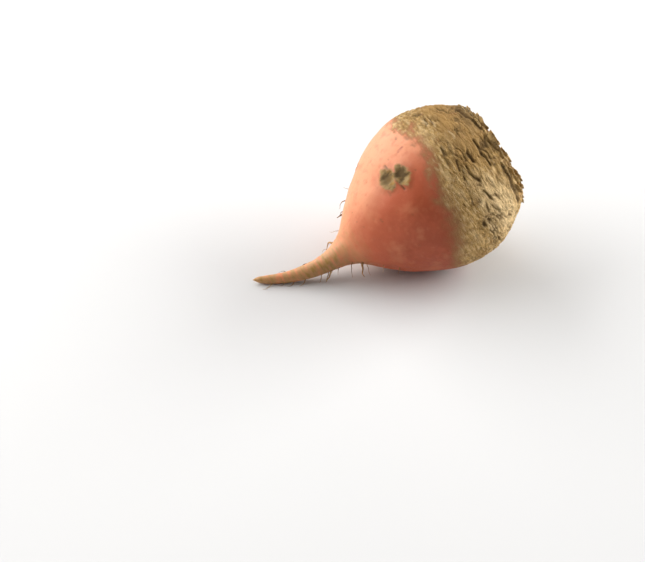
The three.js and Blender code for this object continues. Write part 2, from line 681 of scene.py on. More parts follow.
@dataclass
class RootBody:
    """The root itself: body, crown and taproot in one skin."""

    axis: RestingAxis
    outline: Outline
    edge: CorkEdge
    leaves: LeafSpiral
    steps_round: int = 72
    smoothings: int = 2
    weld_distance: float = 0.01
    face_radii: Pair = (22.0, 26.5)
    face_from: float = 15.0
    tail_span: Pair = (38.0, 62.0)
    cork_span: Pair = (-5.0, 5.5)
    rough_span: Pair = (-0.5, 8.0)
    swellings: tuple[tuple[int, float, float], ...] = (
        (2, 0.01, 240.0),
        (3, 0.006, 330.0),
        (5, 0.004, 165.0),
    )
    lump_size: float = 17.0
    lump_height: float = 0.6
    tuck: float = 0.2
    dent_size: float = 6.0
    dent_depth: float = 0.16
    furrow_turn: float = 61.0
    furrow_width: float = 11.0
    furrow_depth: float = 0.028
    ring_size: float = 1.5
    ring_stretch: float = 0.3
    ring_heights: tuple[float, float, float] = (0.2, 0.09, 0.3)
    sway_size: float = 6.0
    fold_sway: float = 1.4
    fibre_sway: float = 0.5
    stretch: float = 0.4
    fold_size: float = 3.0
    fold_depth: float = 0.52
    line_width: float = 0.07
    cracked_size: float = 8.0
    plate_size: float = 2.1
    plate_depth: float = 0.26
    crack_width: float = 0.16
    fibre_size: float = 1.4
    fibre_stretch: float = 0.2
    fibre_depth: float = 0.32
    fibre_width: float = 0.16
    grain_size: float = 0.9
    grain_depth: float = 0.12
    base_height: float = 0.85
    base_crack: float = 0.5
    base_edge: Pair = (1.1, 2.2)
    base_sway: Pair = (1.6, 4.5)
    base_span: Pair = (-2.4, 1.8)
    base_gap: float = 0.6
    crevices: tuple[Crevice, ...] = (
        Crevice(((-25, 9.8), (-31, 9.4), (-38, 8.7)), 0.45, 0.5),
        Crevice(((-39, 13), (-42, 12.3), (-47, 11.5)), 0.48, 0.6),
        Crevice(((-49, 12.2), (-54, 11)), 0.45, 0.5),
        Crevice(((-37, 19.2), (-41, 19), (-47, 19.4)), 0.5, 0.95),
        Crevice(((-47, 15.4), (-52, 14.6), (-56, 15.2), (-60, 16.6)), 0.55, 1.0),
        Crevice(((-30, 25.2), (-43, 24.5), (-57, 25)), 0.58, 1.0),
        Crevice(((-69, 15.4), (-78, 16.5)), 0.58, 0.8),
        Crevice(((-89, 7.6), (-91, 7.4)), 0.9, 0.8),
        Crevice(((-89, 10.6), (-92, 10.4)), 0.55, 0.6),
        Crevice(((-112, 10), (-115, 10)), 0.48, 0.5),
        Crevice(((-66, 29.5), (-77, 29.6), (-89, 28), (-112, 26.6)), 1.0, 1.2),
        Crevice(((14, 27), (3, 28.6), (-8, 30.6), (-18, 31)), 1.0, 1.1),
        Crevice(((-9, -15.5), (-18, -14.4), (-26, -14), (-35, -13.4)), 0.45, 0.6),
    )
    scars: tuple[LensScar, ...] = (
        LensScar(-19.4, -17.4, 14.0, 9.0, 0.02, -0.05, 0.8),
        LensScar(-25.5, -10.8, 13.5, 8.4, -0.03, -0.2, 0.95),
        LensScar(104.0, -15.0, 10.0, 3.6, 0.05, 0.1, 0.6),
        LensScar(141.0, -21.5, 7.0, 2.8, -0.1, -0.2, 0.5),
        LensScar(38.0, -25.0, 8.0, 3.0, 0.08, 0.0, 0.7),
        LensScar(-152.0, -18.0, 11.0, 3.8, 0.0, 0.2, 0.7),
        LensScar(176.0, -9.0, 6.0, 2.6, 0.12, 0.0, 0.4),
    )
    marks: tuple[Mark, ...] = (
        Mark(Layer.SCRATCH, ((-8.4, -6.7), (-7.5, -3.9)), 0.45, 0.9),
        Mark(Layer.SCRATCH, ((120.0, -6.0), (123.5, -9.5)), 0.4, 0.7),
        Mark(Layer.SCRATCH, ((-165.0, -24.0), (-158.0, -26.0)), 0.4, 0.7),
        Mark(Layer.STAIN, ((13.0, -0.6), (9.0, -0.2)), 1.0, 0.8),
        Mark(Layer.STAIN, ((3.6, -3.6), (3.0, -3.9)), 0.7, 0.7),
        Mark(Layer.STAIN, ((19.0, -3.4), (16.5, -3.0)), 0.7, 0.5),
        Mark(Layer.STAIN, ((-2.0, -0.2), (-5.0, 0.4)), 0.9, 0.6),
        Mark(Layer.STAIN, ((-11.0, 0.6), (-13.0, 0.9)), 0.7, 0.5),
        Mark(Layer.PEEL, ((4.0, 10.6), (0.0, 11.6), (-3.5, 11.0)), 0.5, 0.9),
        Mark(Layer.PEEL, ((2.0, 13.2), (-3.0, 14.2), (-6.5, 13.6)), 0.45, 0.8),
        Mark(Layer.PEEL, ((-15.0, 17.6), (-19.0, 18.4), (-22.0, 18.0)), 0.5, 0.8),
        Mark(Layer.PEEL, ((-74.0, 12.4), (-76.0, 11.8)), 1.3, 0.8),
        Mark(Layer.PEEL, ((-62.0, 21.0), (-68.0, 21.8), (-73.0, 21.2)), 0.6, 0.8),
        Mark(Layer.PEEL, ((-84.0, 17.0), (-90.0, 17.5)), 0.7, 0.7),
        Mark(Layer.PEEL, ((118.0, 9.0), (113.0, 10.0), (108.0, 9.2)), 0.6, 0.8),
        Mark(Layer.PEEL, ((-170.0, 14.0), (-176.0, 14.8)), 0.7, 0.8),
        Mark(Layer.STAIN, ((-28.5, -4.8), (-28.5, -4.9)), 0.45, 0.9),
        Mark(Layer.STAIN, ((-54.0, -4.9), (-54.0, -5.0)), 0.45, 0.9),
        Mark(Layer.STAIN, ((-28.0, -20.4), (-30.5, -20.0)), 0.5, 0.6),
    )
    scar_raggedness: float = 0.42
    scar_streaks: float = 2.6
    scar_rim_height: float = 0.38
    scar_hollow: float = 0.5
    scar_halo: float = 0.22
    stain_depth: float = 0.12
    peel_height: float = 0.4
    mark_reach: float = 6.0
    freckle_count: int = 46
    freckle_widths: Pair = (0.2, 0.45)
    place: np.ndarray = field(default_factory=lambda: np.zeros(3))

    def build(self) -> bpy.types.Object:
        """Turns, carves and lays the root.

        Returns:
            The finished piece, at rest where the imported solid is.
        """
        piece = self.turn()
        upright = points_of(piece) / MM
        carved = self.carve(piece, upright)
        laid = self.axis.lay(carved)
        laid[:, 2] = np.maximum(laid[:, 2], 0)
        self.place = self.offset(upright)
        low, high = (np.array(corner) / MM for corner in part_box("beetroot"))
        move_points(piece, np.clip(laid + self.place, low, high) * MM)
        make_active(piece)
        bpy.ops.object.shade_smooth()
        return piece

    def offset(self, upright: np.ndarray) -> np.ndarray:
        """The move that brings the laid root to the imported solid's own place.

        Args:
            upright: the root's points before they are carved.

        Returns:
            One move, in millimetres.
        """
        low, high = (np.array(corner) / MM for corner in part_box("beetroot"))
        laid = self.axis.lay(upright)
        middle = (laid[:, 1].min() + laid[:, 1].max()) / 2
        return np.array((low[0] - laid[:, 0].min(), (low[1] + high[1]) / 2 - middle, 0))

    def turn(self) -> bpy.types.Object:
        """Draws the outline point by point, spins it round the axis and smooths it.

        Returns:
            The upright root, crown upwards.
        """
        deselect_all()
        outline = self.outline.turning_points() * MM
        start = (outline[0, 0], 0, outline[0, 1])
        bpy.ops.mesh.primitive_plane_add(size=MM, location=start)
        piece = bpy.context.object
        piece.name = "root_body"
        bpy.ops.object.transform_apply(location=True, rotation=True, scale=True)
        bpy.ops.object.mode_set(mode="EDIT")
        bpy.ops.mesh.select_all(action="SELECT")
        bpy.ops.mesh.merge(type="CENTER")
        for step in np.diff(outline, axis=0):
            move = {"value": (step[0], 0, step[1])}
            bpy.ops.mesh.extrude_vertices_move(TRANSFORM_OT_translate=move)
        bpy.ops.mesh.select_all(action="SELECT")
        bpy.ops.mesh.spin(
            steps=self.steps_round,
            angle=2 * math.pi,
            center=(0, 0, 0),
            axis=(0, 0, 1),
        )
        bpy.ops.mesh.select_all(action="SELECT")
        bpy.ops.mesh.remove_doubles(threshold=self.weld_distance * MM)
        face_outwards()
        apply_modifier(piece, "SUBSURF", levels=self.smoothings, render_levels=self.smoothings)
        return piece

    def carve(self, piece: bpy.types.Object, upright: np.ndarray) -> np.ndarray:
        """Moves the skin's points in and out, and paints the layers that its finish reads.

        Args:
            piece: the upright root.
            upright: its points in millimetres, one a row.

        Returns:
            The carved points, still upright, in millimetres.
        """
        turns = np.arctan2(upright[:, 0], upright[:, 1])
        along = upright[:, 2]
        cork, rough = self.cork_cover(upright, turns)
        from_axis = np.hypot(upright[:, 0], upright[:, 1])
        crown = (1 - rise(from_axis, *self.face_radii)) * (along > self.face_from)
        tail = rise(-along, *self.tail_span)
        depth, crease = self.wrinkles(upright, rough, crown)
        base_depth, base_crease = self.leaf_bases(upright, turns, crown)
        depth = depth + base_depth
        crease = np.maximum(crease, base_crease)
        relief = self.body_relief(upright, turns, crown, tail)
        rim, core, scar_depth, halo = self.scar_marks(upright, turns)
        marks = self.small_marks(upright)
        move = relief - depth + scar_depth - self.stain_depth * marks[Layer.STAIN]
        move += self.peel_height * marks[Layer.PEEL]
        layers = {
            Layer.CORK: cork,
            # The crease mask, which the skin's finish paints as shade.
            Layer.CREASE: crease,
            Layer.SOFT: (self.edge.softness(turns) - 1) / self.edge.softest,
            # The carved relief, which the skin's finish paints lighter on ridges and darker in hollows,
            # as painted highlight and painted shade.
            Layer.RELIEF: np.clip(0.5 - 0.45 * depth, 0, 1),
            Layer.SCAR_RIM: rim,
            Layer.SCAR_CORE: core,
            Layer.CROWN: crown,
            Layer.TAIL: tail,
            Layer.STAIN: np.maximum(marks[Layer.STAIN] * (1 - 0.7 * cork), halo),
            Layer.SCRATCH: marks[Layer.SCRATCH],
            Layer.PEEL: marks[Layer.PEEL],
        }
        for layer, values in layers.items():
            paint(piece, layer, values)
        return upright + normals_of(piece) * move[:, None]

    def cork_cover(self, upright: np.ndarray, turns: np.ndarray) -> tuple[np.ndarray, np.ndarray]:
        """Where the skin is corky, and where it is rough.

        Args:
            upright: points in millimetres.
            turns: their directions round the root.

        Returns:
            How corky the colour is and how strong the wrinkles are, both from 0 to 1.
        """
        past = upright[:, 2] - self.edge.along(turns) - self.edge.wander(upright, turns)
        past /= self.edge.softness(turns)
        return rise(past, *self.cork_span), rise(past, *self.rough_span)

    def wrinkles(
        self, upright: np.ndarray, rough: np.ndarray, crown: np.ndarray
    ) -> tuple[np.ndarray, np.ndarray]:
        """Folds, plates, crevices and grain of the cork, drawn out round the body.

        Args:
            upright: points in millimetres.
            rough: how strong the wrinkles are.
            crown: 1 on the trimmed face.

        Returns:
            How deep the skin is carved, in millimetres, and how much it is a crease, 0 to 1.
        """
        drawn = upright * np.array((self.stretch, self.stretch, 1.0))
        sways = [Noise(Pattern.SWAY + i).fractal(upright / self.sway_size, 2) for i in range(3)]
        sway = np.column_stack(sways)
        warped = drawn + self.fold_sway * sway
        folds = Noise(Pattern.FOLDS).fractal(warped / self.fold_size, 3, 0.45)
        lines = Noise(Pattern.LINES).fractal(warped / (1.15 * self.fold_size), 2)
        lines = hump(lines, self.line_width)
        kept = rise(Noise(Pattern.CRACKED).smooth(upright / self.cracked_size), -0.25, 0.35)
        nearest, second = Noise(Pattern.PLATES).cells(warped / self.plate_size)
        cracks = hump(second - nearest, self.crack_width) * (0.35 + 0.65 * kept)
        grain = Noise(Pattern.GRAIN).fractal(upright / self.grain_size, 2)
        thin = upright * np.array((self.fibre_stretch, self.fibre_stretch, 1.0))
        thin += self.fibre_sway * sway
        fibres = Noise(Pattern.FIBRES).fractal(thin / self.fibre_size, 2)
        depth = 0.6 * self.fold_depth * folds - 0.12
        depth += self.fold_depth * lines * kept + self.plate_depth * cracks
        depth += self.fibre_depth * (hump(fibres, self.fibre_width) - 0.25)
        crease = np.clip(0.6 * lines * kept + 0.35 * cracks + 0.2 * hump(fibres, 0.1), 0, 1)
        named, named_crease = self.named_crevices(upright, sway)
        face = 1 - 0.35 * crown
        depth = rough * face * depth + named + (0.25 + rough) * self.grain_depth * grain
        return depth, np.clip(crease * rough * face + named_crease, 0, 1)

    def leaf_bases(
        self, upright: np.ndarray, turns: np.ndarray, crown: np.ndarray
    ) -> tuple[np.ndarray, np.ndarray]:
        """The trimmed face: leaf bases that overlap outwards, with cracks between them.

        Args:
            upright: points in millimetres.
            turns: their directions round the root.
            crown: 1 on the trimmed face.

        Returns:
            How deep the skin is carved, in millimetres, and how much it is a crease, 0 to 1.
        """
        reach, size = self.base_edge
        ragged = reach * Noise(Pattern.BASE_EDGE).fractal(upright / size, 3, 0.6)
        reach, size = self.base_sway
        sways = [reach * Noise(Pattern.BASE_SWAY + i).fractal(upright / size, 2) for i in range(3)]
        outward, gap = self.leaves.bases(upright + np.column_stack(sways) + ragged[:, None], turns)
        shingle = rise(outward + ragged, *self.base_span) - 0.5
        broken = rise(Noise(Pattern.BASE_BROKEN).smooth(upright / 3.0), -0.5, 0.3)
        crack = hump(gap, self.base_gap) * (0.35 + 0.65 * broken)
        depth = self.base_crack * crack - self.base_height * shingle + 0.35 * ragged
        return depth * crown, 0.55 * crack * crown

    def named_crevices(self, upright: np.ndarray, sway: np.ndarray) -> tuple[np.ndarray, np.ndarray]:
        """The few cracks that are deeper than the rest.

        Args:
            upright: points in millimetres.
            sway: a soft wander, so that the cracks aren't straight.

        Returns:
            Their depth in millimetres, and how much each point is a crease.
        """
        depth = np.zeros(len(upright))
        crease = np.zeros(len(upright))
        for crevice in self.crevices:
            path = self.on_outline(crevice.path)
            away = self.distance_from(path, upright + 0.7 * sway)
            inside = hump(away, crevice.width)
            depth = np.maximum(depth, crevice.depth * inside)
            crease = np.maximum(crease, inside)
        return depth, crease

    def body_relief(
        self, upright: np.ndarray, turns: np.ndarray, crown: np.ndarray, tail: np.ndarray
    ) -> np.ndarray:
        """Slow swellings, soft lumps, the two furrows and the taproot's rings.

        Args:
            upright: points in millimetres.
            turns: their directions round the root.
            crown: 1 on the trimmed face.
            tail: 1 on the taproot.

        Returns:
            How far the skin stands out, in millimetres.
        """
        along = upright[:, 2]
        share = along / self.axis.belly_radius
        radius = np.hypot(upright[:, 0], upright[:, 1])
        swell = np.zeros(len(upright))
        for count, size, phase in self.swellings:
            swell += size * np.cos(count * turns + math.radians(phase))
        swell *= rise(share, -1.4, -0.6) * radius
        lumps = self.lump_height * Noise(Pattern.LUMPS).fractal(upright / self.lump_size, 2)
        lumps += self.dent_depth * Noise(Pattern.DENTS).fractal(upright / self.dent_size, 2)
        lower = rise(-share, 0.15, 0.9) * (1 - rise(-share, 1.5, 1.9))
        furrows = np.zeros(len(upright))
        for turn in (self.furrow_turn, self.furrow_turn + 180):
            apart = turn_apart(turns, math.radians(turn))
            furrows += hump(apart, math.radians(self.furrow_width))
        furrows *= lower * self.furrow_depth * radius
        drawn = upright * np.array((self.ring_stretch, self.ring_stretch, 1.0))
        rings = Noise(Pattern.RINGS).fractal(drawn / self.ring_size, 2)
        on_tail, on_body, in_furrows = self.ring_heights
        ringing = on_tail * tail + on_body * lower + in_furrows * lower * furrows
        ringing *= 1 - crown
        return swell + lumps * (1 - tail) - furrows + ringing * rings - self.tuck * (1 - tail)

    def scar_marks(
        self, upright: np.ndarray, turns: np.ndarray
    ) -> tuple[np.ndarray, np.ndarray, np.ndarray, np.ndarray]:
        """The scars left by side roots on the smooth skin.

        Args:
            upright: points in millimetres.
            turns: their directions round the root.

        Returns:
            How much each point is a pale rim and a dark core, how far it stands out, and how
            stained it is round about.
        """
        rim = np.zeros(len(upright))
        core = np.zeros(len(upright))
        height = np.zeros(len(upright))
        halo = np.zeros(len(upright))
        ragged = Noise(Pattern.SCAR_EDGE).fractal(upright / 1.5, 3, 0.7)
        for scar in self.scars:
            radius = self.outline.radius_at(np.array([scar.along]))[0]
            across = -radius * turn_apart(turns, math.radians(scar.turn))
            lengthwise = upright[:, 2] - scar.along
            cos, sin = math.cos(scar.lean), math.sin(scar.lean)
            long_way = (across * cos + lengthwise * sin) / (scar.length / 2)
            short_way = (lengthwise * cos - across * sin) / (scar.width / 2)
            reach = np.abs(short_way) + long_way**2 + self.scar_raggedness * ragged
            inner = np.hypot(short_way, 1.5 * (long_way - scar.core_shift)) + 0.3 * ragged
            strands = np.column_stack((2.9 * long_way, 0.8 * short_way, 0 * short_way))
            strands = Noise(Pattern.SCAR_STRANDS).fractal(strands + scar.turn, 3, 0.5)
            cover = 1 - rise(reach, 0.68, 1.02)
            dark = scar.darkness * (1 - rise(inner, 0.3, 1.05))
            dark += self.scar_streaks * np.maximum(0, strands)
            rim = np.maximum(rim, cover)
            core = np.maximum(core, cover * np.clip(dark, 0, 1))
            depth = self.scar_hollow * (hump(inner, 0.55) + 0.5 * cover * strands)
            raised = self.scar_rim_height * hump(reach - 0.8, 0.3)
            height += min(1, scar.width / 6) * (raised - depth)
            halo = np.maximum(halo, self.scar_halo * (1 - rise(reach, 0.8, 1.9)))
        return rim, core, height, halo

    def small_marks(self, upright: np.ndarray) -> dict[Layer, np.ndarray]:
        """The scratches, stains and freckles of the smooth skin, and pale peeling strips of cork.

        Args:
            upright: points in millimetres.

        Returns:
            How strong each layer of marks is at each point, 0 to 1.
        """
        kinds = (Layer.SCRATCH, Layer.STAIN, Layer.PEEL)
        strengths = {layer: np.zeros(len(upright)) for layer in kinds}
        for mark in (*self.marks, *self.freckles()):
            path = self.on_outline(mark.path)
            near = np.abs(upright - path.mean(axis=0)).max(axis=1) < self.mark_reach
            inside = np.zeros(len(upright))
            wander = 0.5 * Noise(Pattern.MARK_WANDER).fractal(upright[near] / 1.6, 2)
            away = self.distance_from(path, upright[near] + wander[:, None])
            inside[near] = mark.strength * hump(away, mark.width)
            strengths[mark.layer] = np.maximum(strengths[mark.layer], inside)
        return strengths

    def freckles(self) -> list[Mark]:
        """Tiny brown dots, scattered over the smooth skin and thickest low on it.

        Returns:
            A mark for each.
        """
        rng = np.random.default_rng(Draw.FRECKLES)
        narrow, wide = self.freckle_widths
        dots = []
        for _ in range(self.freckle_count):
            turn = rng.uniform(-180, 180)
            along = 2 - 42 * rng.random() ** 0.8
            path = ((turn, along), (turn + rng.uniform(-1.5, 1.5), along + rng.uniform(-0.2, 0.2)))
            size = narrow + (wide - narrow) * rng.random() ** 3
            dots.append(Mark(Layer.STAIN, path, size, rng.uniform(0.2, 0.7)))
        return dots

    def on_outline(self, path: Course) -> np.ndarray:
        """The upright places of a path of (turn in degrees, millimetres along), in millimetres."""
        turns, along = np.array(path, dtype=float).T
        return round_axis(self.outline.radius_at(along), np.radians(turns), along)

    @staticmethod
    def distance_from(path: np.ndarray, points: np.ndarray) -> np.ndarray:
        """How far points are from a path.

        Args:
            path: its corners, one a row.
            points: where to measure from, one a row.

        Returns:
            The distance of each from the nearest place on the path.
        """
        away = np.full(len(points), np.inf)
        for start, end in zip(path, path[1:]):
            reach = end - start
            share = np.clip((points - start) @ reach / (reach @ reach), 0, 1)
            gap = points - start - share[:, None] * reach
            away = np.minimum(away, np.linalg.norm(gap, axis=1))
        return away


@dataclass(frozen=True)
class BoxFit:
    """Lays small pieces with the root, lowering any that would leave the solid's box."""

    axis: RestingAxis
    offset: np.ndarray
    clearance: float = 0.1
    shrink: float = 0.8
    tries: int = 9

    def lay(self, upright: np.ndarray) -> np.ndarray:
        """Takes points of the upright root to where they are on the table, in millimetres."""
        return self.axis.lay(upright) + self.offset

    def lower(self, height: float, shape: Callable[[float], np.ndarray]) -> np.ndarray:
        """Shapes a piece, lower and lower until it is inside the box.

        Args:
            height: how tall it would be, in millimetres.
            shape: gives its upright points at a height.

        Returns:
            Its points on the table, in millimetres.
        """
        low, high = (np.array(corner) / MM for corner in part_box("beetroot"))
        for _ in range(self.tries):
            laid = self.lay(shape(height))
            if min((high - laid).min(), (laid - low).min()) > self.clearance:
                break
            height *= self.shrink
        return laid


@dataclass(frozen=True)
class ScalePlace:
    """Where one dried scale stands on the crown, its half width, height and shade."""

    turn: float
    radius: float
    half_width: float
    height: float
    tone: float


@dataclass
class StalkScales:
    """Dried leaf-stalk bases: thin ragged scales that overlap round the crown like shingles."""

    fit: BoxFit
    outline: Outline
    leaves: LeafSpiral
    first_leaf: int = 12
    last_leaf: int = 27
    leaf_step: float = 2.6
    rim_count: int = 38
    rim_radii: Pair = (22.0, 28.2)
    weathered_turn: float = 22.0
    weathered_width: float = 24.0
    bare_turn: float = -28.0
    bare_width: float = 30.0
    bare_step: float = 4.0
    half_widths: Pair = (2.4, 4.8)
    heights: Pair = (1.4, 2.4)
    raggedness: float = 0.24
    thickness: float = 0.7
    sink: float = 0.9
    upright_lean: float = math.radians(12)
    rim_lean: float = math.radians(52)
    grid: tuple[int, int] = (8, 5)

    def build(self) -> bpy.types.Object:
        """Models one scale, and copies it to every place.

        Returns:
            All the scales as one piece.
        """
        model = self.model_one()
        unit = points_of(model)
        copies = []
        for number, place in enumerate(self.places()):
            copy = copy_of(model)
            fitted = self.fit.lower(place.height, lambda height: self.shape(unit, place, number, height))
            move_points(copy, fitted * MM)
            paint(copy, Layer.TONE, np.full(len(unit), place.tone))
            paint(copy, Layer.EDGE, np.clip(unit[:, 2], 0, 1))
            copies.append(copy)
        return join_copies(model, copies, "stalk_scales")

    def model_one(self) -> bpy.types.Object:
        """One scale: a thin plate with a rounded top, thickest at its foot.

        Returns:
            The scale, 2 wide, 1 high and 1 thick, standing on the origin.
        """
        deselect_all()
        across, up = self.grid
        bpy.ops.mesh.primitive_grid_add(x_subdivisions=across, y_subdivisions=up, size=2)
        scale = bpy.context.object
        flat = points_of(scale)
        share = (flat[:, 1] + 1) / 2
        top = np.sqrt(1.04 - 0.9 * flat[:, 0] ** 2)
        move_points(scale, np.column_stack((flat[:, 0], 0 * share, top * share)))
        apply_modifier(scale, "SOLIDIFY", thickness=1.0, offset=0.0)
        points = points_of(scale)
        points[:, 1] *= 1 - 0.72 * np.clip(points[:, 2], 0, 1)
        move_points(scale, points)
        bpy.ops.object.mode_set(mode="EDIT")
        face_outwards()
        apply_modifier(scale, "SUBSURF", levels=1, render_levels=1)
        return scale

    def places(self) -> list[ScalePlace]:
        """Where the scales stand: on the leaves' spiral, and crowded along the rim.

        Returns:
            The places, from the middle outwards.
        """
        rng = np.random.default_rng(Draw.SCALES)
        between = self.leaves.places(self.first_leaf, self.last_leaf)
        spots = [(turn, radius + self.leaf_step) for turn, radius in between]
        low, high = self.rim_radii
        for number in range(self.rim_count):
            turn = 2 * math.pi * (number + rng.uniform(-0.4, 0.4)) / self.rim_count
            spots.append((turn, rng.uniform(low, high)))
        narrow, wide = self.half_widths
        short, tall = self.heights
        places = []
        for turn, radius in spots:
            width = narrow + (wide - narrow) * rng.random() * min(1, radius / low)
            height = short + (tall - short) * rng.random() ** 1.5
            turn += rng.uniform(-0.08, 0.08)
            weathered = self.share_at(turn, self.weathered_turn, self.weathered_width)
            bare = self.share_at(turn, self.bare_turn, self.bare_width)
            tone = (0.4 + 0.6 * rng.random()) * (1 - 0.75 * weathered)
            radius = min(radius, low + 4.0) - self.bare_step * bare
            places.append(ScalePlace(turn, radius, width, height * (1 - 0.6 * bare), tone))
        return places

    @staticmethod
    def share_at(turn: float, middle: float, width: float) -> float:
        """1 in the middle of a stretch of the rim, given in degrees, and falling away to 0."""
        apart = turn_apart(np.array([turn]), math.radians(middle))
        return float(hump(apart, math.radians(width))[0])

    def shape(
        self, unit: np.ndarray, place: ScalePlace, number: int, height: float
    ) -> np.ndarray:
        """Bends one copy round the crown and makes its edge ragged.

        Args:
            unit: the modelled scale's points.
            place: where the copy stands.
            number: which copy it is.
            height: how tall it is, in millimetres.

        Returns:
            Its points on the upright root, in millimetres.
        """
        across, thick, up = unit.T
        strip = np.column_stack((1.9 * across, 0 * across + 3.7 * number, 0.6 * up))
        ragged = Noise(Pattern.SCALE_EDGE).fractal(strip, 3, 0.7)
        sheet = np.column_stack((across, 0.8 * up, 0 * up + 2.9 * number))
        warp = Noise(Pattern.SCALE_WARP).fractal(sheet, 2)
        tall = height * up * (1 + self.raggedness * ragged)
        share = min(1, place.radius / self.rim_radii[1])
        lean = self.upright_lean + (self.rim_lean - self.upright_lean) * share**2 + 0.45 * warp * up
        out = place.radius + tall * np.sin(lean) + self.thickness * thick * np.cos(lean)
        out += 0.5 * warp
        foot = self.outline.crown_height(place.radius) - self.sink
        along = foot + tall * np.cos(lean) - self.thickness * thick * np.sin(lean)
        turns = place.turn + across * place.half_width / place.radius
        return round_axis(out, turns, along)


@dataclass
class CutStalks:
    """The bases of the leaf stalks: thick crescents, cut across close to the crown and dried hollow."""

    fit: BoxFit
    outline: Outline
    leaves: LeafSpiral
    count: int = 22
    corners: int = 18
    half_widths: Pair = (3.3, 5.4)
    half_depths: Pair = (1.9, 2.3)
    heights: Pair = (3.4, 2.3)
    sink: float = 1.5
    leans: Pair = (math.radians(4), math.radians(26))
    spread: float = 3.0

    def build(self) -> bpy.types.Object:
        """Models one base, and copies it to each place of the leaves' spiral.

        Returns:
            All the bases as one piece.
        """
        model = self.model_one()
        unit = points_of(model)
        rng = np.random.default_rng(Draw.STALKS)
        copies = []
        for number, (turn, radius) in enumerate(self.leaves.places(0, self.count)):
            copy = copy_of(model)
            size = rng.uniform(0.82, 1.08)
            tallness = self.between(self.heights, radius) * rng.uniform(0.85, 1.12)
            fitted = self.fit.lower(
                tallness, lambda height: self.shape(unit, turn, radius, size, height)
            )
            move_points(copy, fitted * MM)
            age = number / self.count
            paint(copy, Layer.TONE, np.full(len(unit), 0.75 - 0.3 * age + 0.25 * rng.random()))
            inside = 1 - rise(np.hypot(unit[:, 0], unit[:, 1]), 0.72, 0.95)
            paint(copy, Layer.EDGE, (1 - 0.7 * age) * inside * rise(unit[:, 2], 0.6, 0.8))
            copies.append(copy)
        return join_copies(model, copies, "cut_stalks")

    def between(self, ends: Pair, radius: float) -> float:
        """A size that changes evenly from the crown's middle to its rim."""
        return ends[0] + (ends[1] - ends[0]) * min(1, radius / self.leaves.reach)

    def model_one(self) -> bpy.types.Object:
        """One base: drawn up from a disc, drawn in at its waist and hollowed at the cut.

        Returns:
            The base, 1 in radius and 1 high, standing on the origin.
        """
        deselect_all()
        bpy.ops.mesh.primitive_circle_add(vertices=self.corners, radius=1.08, fill_type="NGON")
        base = bpy.context.object
        bpy.ops.object.mode_set(mode="EDIT")
        bpy.ops.mesh.select_all(action="SELECT")
        for rise_by, widen in ((0.4, 0.92), (0.35, 0.97), (0.19, 1.05), (0.06, 0.97)):
            move = {"value": (0, 0, rise_by)}
            bpy.ops.mesh.extrude_region_move(TRANSFORM_OT_translate=move)
            bpy.ops.transform.resize(value=(widen, widen, 1))
        for border, drop in ((0.1, 0.0), (0.1, 0.13), (0.25, 0.05), (0.25, -0.04)):
            bpy.ops.mesh.inset(thickness=border)
            bpy.ops.transform.translate(value=(0, 0, -drop))
        face_outwards()
        apply_modifier(base, "SUBSURF", levels=1, render_levels=1)
        return base

    def shape(
        self, unit: np.ndarray, turn: float, radius: float, size: float, height: float
    ) -> np.ndarray:
        """Bends one copy into an uneven crescent round the crown's middle.

        Args:
            unit: the modelled base's points.
            turn: its direction round the axis, in radians.
            radius: its distance from the axis, in millimetres.
            size: its share of the full width.
            height: how tall it is, in millimetres.

        Returns:
            Its points on the upright root, in millimetres.
        """
        spot = unit * np.array((1.3, 1.3, 0.7)) + 5.1 * turn
        warp = Noise(Pattern.STALK_WARP).fractal(spot, 3, 0.6)
        across = unit[:, 0] * (1 + 0.3 * warp)
        thin = 1 - 0.35 * np.abs(unit[:, 0]) ** 3
        out = (unit[:, 1] * thin + 0.35 * warp) * self.between(self.half_depths, radius) * size
        up = unit[:, 2] * height * (1 + 0.3 * Noise(Pattern.STALK_TOP).fractal(spot, 3, 0.6))
        lean = self.between(self.leans, radius)
        out = radius + out * math.cos(lean) + up * math.sin(lean)
        along = self.outline.crown_height(radius) - self.sink + up * math.cos(lean)
        width = self.between(self.half_widths, radius) * size
        turns = turn + across * width / (radius + self.spread)
        return round_axis(out, turns, along)


@dataclass(frozen=True)
class Rootlet:
    """One side root: where it leaves the skin, its length and its radius at the skin."""

    along: float
    turn: float
    length: float
    radius: float


